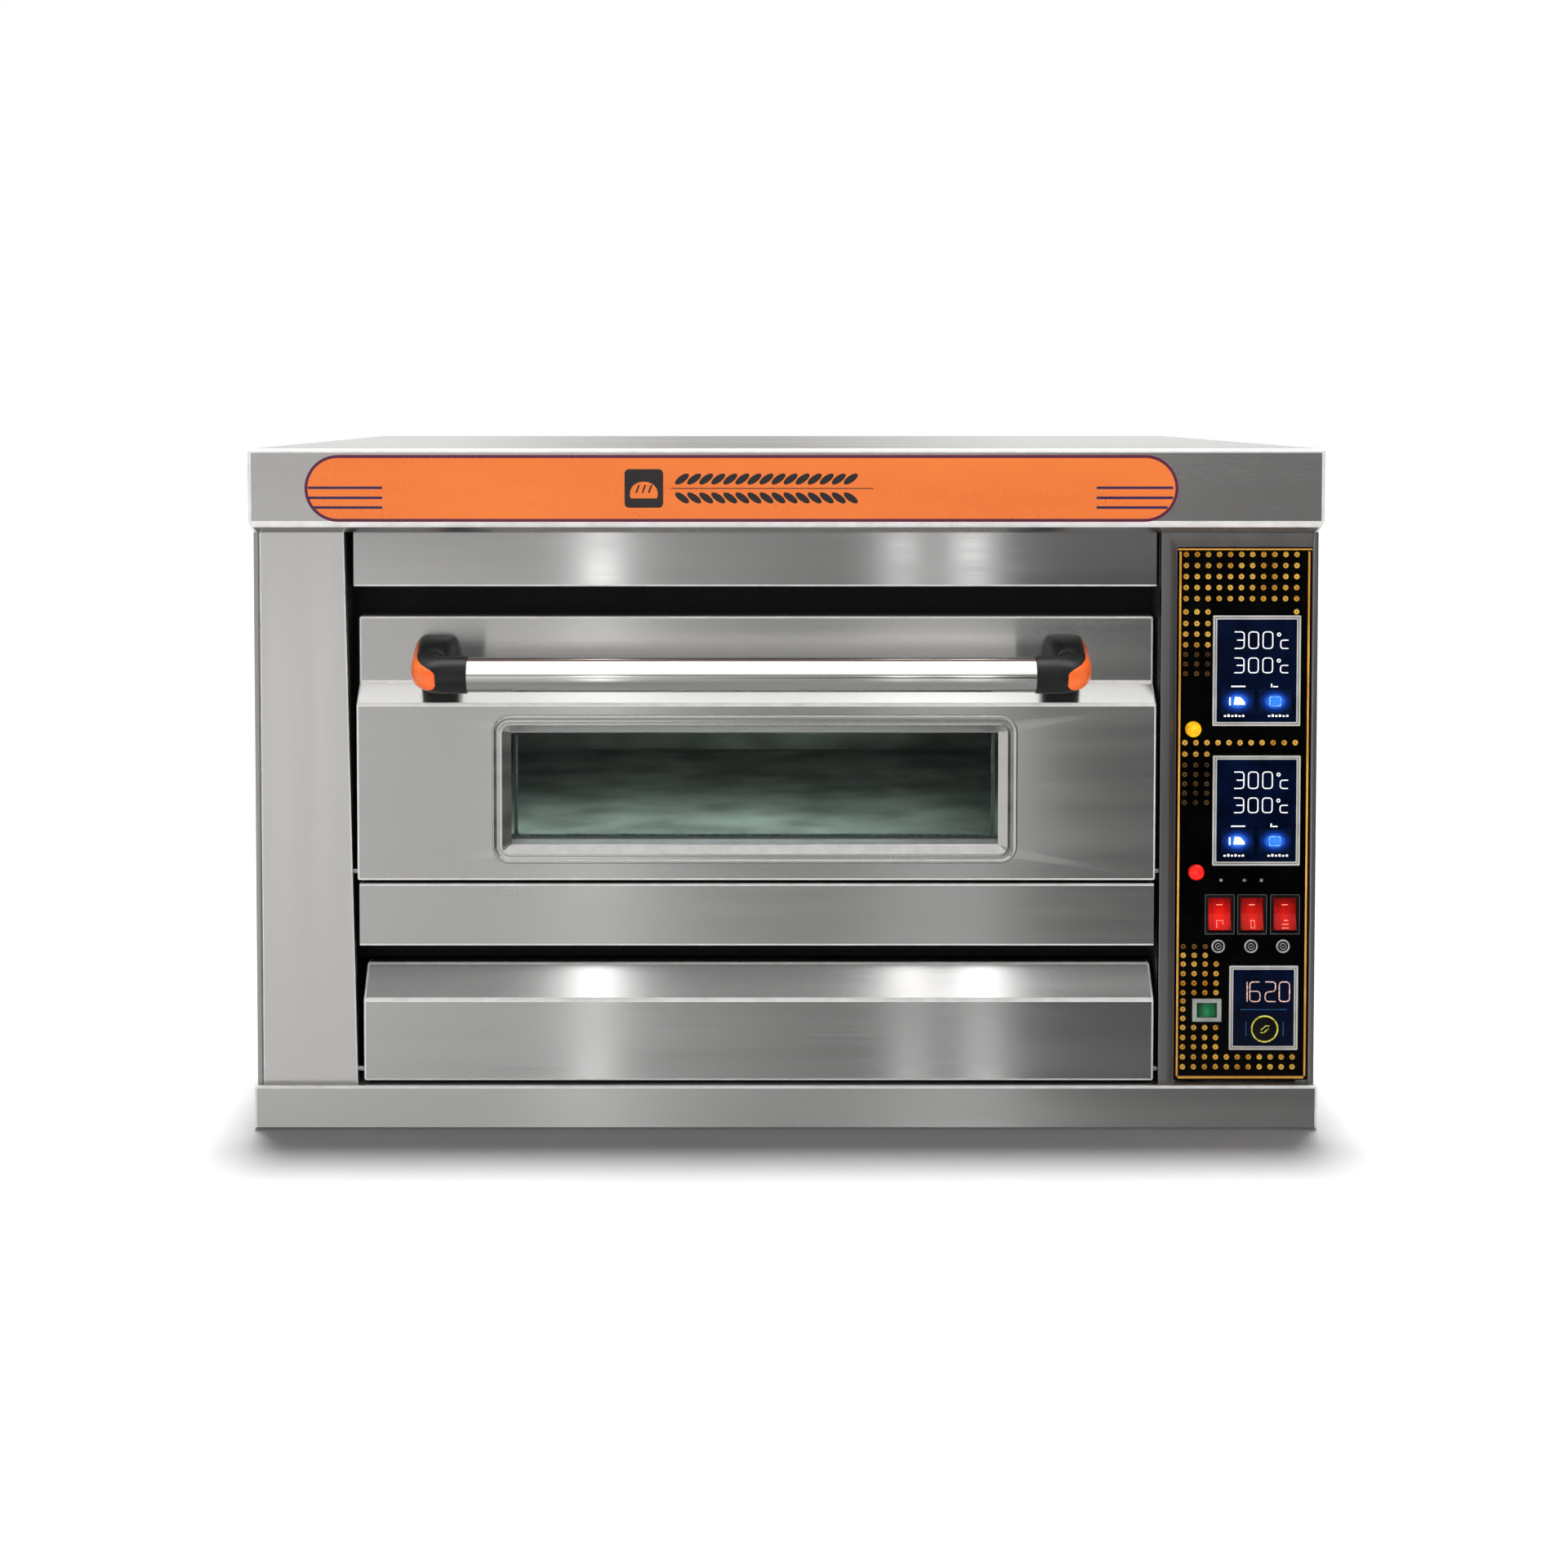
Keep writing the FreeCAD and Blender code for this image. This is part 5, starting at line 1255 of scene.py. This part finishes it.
def make_world():
    """Soft studio: even light for matt surfaces, and for polished ones a bright ceiling over walls
    that go from light on the left to dark on the right, with three tall lamps."""
    world = bpy.data.worlds.new("Studio")
    scene.world = world
    world.use_nodes = True
    tree = world.node_tree
    tree.nodes.clear()
    look = add(tree, "ShaderNodeTexCoord")
    axes = add(tree, "ShaderNodeSeparateXYZ", {"Vector": look.outputs["Generated"]})
    spans = {}
    for name, axis, low, high in (("across", "X", -0.5, 0.5), ("right", "X", -0.08, 0.1),
                                  ("height", "Z", -0.4, 0.8), ("high", "Z", 0.55, 0.75),
                                  ("over", "Y", -0.4, -0.2), ("behind", "Y", 0.3, 0.6)):
        spans[name] = add(tree, "ShaderNodeMapRange", {
            "Value": axes.outputs[axis], "From Min": low, "From Max": high}).outputs[0]
    ramps = {}
    for name, span, ease, places in (
            # the wall from left to right
            ("wall", "across", "B_SPLINE", (
                (0.0, 0.7), (0.24, 1.08), (0.31, 0.96), (0.38, 0.76), (0.44, 0.68), (0.50, 0.58),
                (0.56, 0.37), (0.62, 0.2), (0.70, 0.1), (0.79, 0.08), (0.9, 0.16), (1.0, 0.35))),
            # from below upwards: how far the wall gives way to an even grey,
            ("even", "height", "LINEAR", (
                (0.0, 0.5), (0.085, 0.5), (0.115, 0.05), (0.27, 0.0), (0.3, 0.75), (0.6, 0.7),
                (0.85, 0.95))),
            # how strong the tall lamps are,
            ("lamps", "height", "LINEAR", (
                (0.0, 0.45), (0.085, 0.45), (0.117, 0.05), (0.19, 0.05), (0.24, 0.9), (0.31, 0.9),
                (0.36, 0.12), (0.7, 0.12), (0.82, 1.35))),
            # and where the right side is dark
            ("dark", "height", "LINEAR", (
                (0.09, 0.0), (0.115, 1.0), (0.2, 1.0), (0.235, 0.0), (0.33, 0.0), (0.38, 0.8),
                (0.6, 0.0)))):
        ramp = add(tree, "ShaderNodeValToRGB", {"Fac": spans[span]})
        ramp.color_ramp.interpolation = ease
        set_stops(ramp, [(position, (shade, shade, shade * 0.99, 1.0)) for position, shade in places])
        ramps[name] = ramp.outputs[0]
    dusk = add(tree, "ShaderNodeMath", {0: spans["right"], 1: ramps["dark"]}, operation="MULTIPLY")
    light = ramps["wall"]
    for share, shade in ((dusk.outputs[0], grey(0.01)), (ramps["even"], grey(0.34))):
        light = add(tree, "ShaderNodeMix", {0: share, 6: light, 7: shade}, data_type="RGBA").outputs[2]
    for centre, half, power in ((-0.069, 0.009, 4.4), (0.083, 0.008, 3.4), (0.118, 0.009, 4.2)):
        off = add(tree, "ShaderNodeMath", {0: axes.outputs["X"], 1: centre}, operation="SUBTRACT")
        near = add(tree, "ShaderNodeMath", {0: off.outputs[0]}, operation="ABSOLUTE")
        lamp = add(tree, "ShaderNodeMapRange",
                   {"Value": near.outputs[0], "From Min": half, "From Max": half * 0.4,
                                                "To Min": 0.0, "To Max": power})
        seen = add(tree, "ShaderNodeMath", {0: lamp.outputs[0], 1: ramps["lamps"]}, operation="MULTIPLY")
        light = add(tree, "ShaderNodeMix", {0: 1.0, 6: light, 7: seen.outputs[0]}, data_type="RGBA",
                    blend_type="ADD").outputs[2]
    aside = add(tree, "ShaderNodeMath", {0: axes.outputs["X"]}, operation="ABSOLUTE")
    back_wall = add(tree, "ShaderNodeMapRange",
                    {"Value": aside.outputs[0], "From Min": 0.02, "From Max": 0.14,
                                                 "To Min": 0.12, "To Max": 0.66})
    above = add(tree, "ShaderNodeMath", {0: spans["high"], 1: spans["over"]}, operation="MULTIPLY")
    below = add(tree, "ShaderNodeMapRange",
                {"Value": axes.outputs["Z"], "From Min": -0.4, "From Max": -0.75},
                interpolation_type="SMOOTHSTEP")
    path = add(tree, "ShaderNodeLightPath")
    # the wall behind, the ceiling, the ground, the light of matt surfaces and the white surroundings
    for share, shade in ((spans["behind"], back_wall.outputs[0]),
                         (above.outputs[0], (2.7, 2.7, 2.69, 1.0)), (below.outputs[0], grey(0.34)),
                         (path.outputs["Diffuse Depth"], grey(0.1)),
                         (path.outputs["Is Camera Ray"], grey(1.0))):
        light = add(tree, "ShaderNodeMix", {0: share, 6: light, 7: shade}, data_type="RGBA").outputs[2]
    sky = add(tree, "ShaderNodeBackground", {"Color": light, "Strength": 1.0})
    add(tree, "ShaderNodeOutputWorld", {"Surface": sky.outputs[0]})


def area_light(name, size, power, place):
    """A rectangular lamp that the camera does not see."""
    panel = bpy.data.lights.new(name, "AREA")
    panel.shape = "RECTANGLE"
    panel.size, panel.size_y = size
    panel.energy = power
    lamp = put(name, panel)
    lamp.location = place
    lamp.visible_camera = False
    return lamp, panel


def make_lights():
    """Two wide suns from above and in front, and a weak lamp under the chamber's roof."""
    for name, turn, power, angle in (("Overhead", (-8.2, 0.0, 0.0), 3.7, 10.0),
                                     ("Front", (87.0, -6.0, 0.0), 1.9, 30.0)):
        sun = bpy.data.lights.new(name, "SUN")
        sun.energy = power
        sun.angle = math.radians(angle)
        lamp = put(name, sun)
        lamp.rotation_euler = [math.radians(t) for t in turn]
        lamp.visible_glossy = False
    liner_x, liner_y, liner_z = extent("chamber_liner")
    place = at((liner_x[0] + liner_x[1]) / 2 - 90.0, liner_y[0] + 110.0, liner_z[1] - 14.0)
    lamp, inside = area_light("Chamber_light", (0.6, 0.06), 0.72, place)
    inside.spread = math.radians(150.0)
    inside.color = (0.82, 0.98, 1.0)
    lamp.visible_glossy = False
    lamp.visible_transmission = False


def make_handle_softbox():
    """A wide soft panel, front and above, that only the polished handle reflects."""
    lamp, _ = area_light("Handle_softbox", (6.0, 2.4), 50.0, (0.0, -2.13, 1.76))
    lamp.rotation_euler = (math.radians(38.2), 0.0, 0.0)
    receivers = bpy.data.collections.new("Lit_by_handle_softbox")
    receivers.objects.link(bpy.data.objects["handle_bar"])
    lamp.light_linking.receiver_collection = receivers


def clear_shadows():
    """The handle leaves the floor in front of the oven evenly lit, and light passes the two panes."""
    pieces = [bpy.data.objects[name] for name in ("handle_bar", "bracket_mouldings", "bracket_caps")]
    for piece in pieces + [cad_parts[name] for name in ("outer_glass", "inner_glass")]:
        piece.visible_shadow = False


def make_floor():
    """Seamless white floor."""
    mesh = bpy.data.meshes.new("Studio_floor")
    mesh.from_pydata([(-14, -14, 0), (14, -14, 0), (14, 14, 0), (-14, 14, 0)], [], [(0, 1, 2, 3)])
    material = textured("Matt_white_floor", "#f1f1f1", "#f7f7f7", (4.0,) * 3, (400.0,) * 3, (0.88, 0.92),
                        0.0)
    mesh.materials.append(material)
    floor = put("Studio_floor", mesh)
    floor.visible_glossy = False


def make_camera():
    """A level view from the front, a little left of the middle, with the lens shifted down."""
    lens = bpy.data.cameras.new("Camera")
    lens.sensor_width = 36.0
    lens.lens = 45.79
    lens.shift_x = 0.0297
    lens.shift_y = -0.1988
    lens.clip_start = 0.01
    camera = put("Camera", lens)
    camera.location = (-0.05446, -2.61062, 0.81813)
    camera.rotation_euler = (math.radians(88.0), 0.0, 0.0)
    scene.camera = camera


make_world()
make_lights()
make_handle_softbox()
clear_shadows()
make_floor()
make_camera()
scene.view_settings.view_transform = "Standard"
scene.view_settings.look = "None"
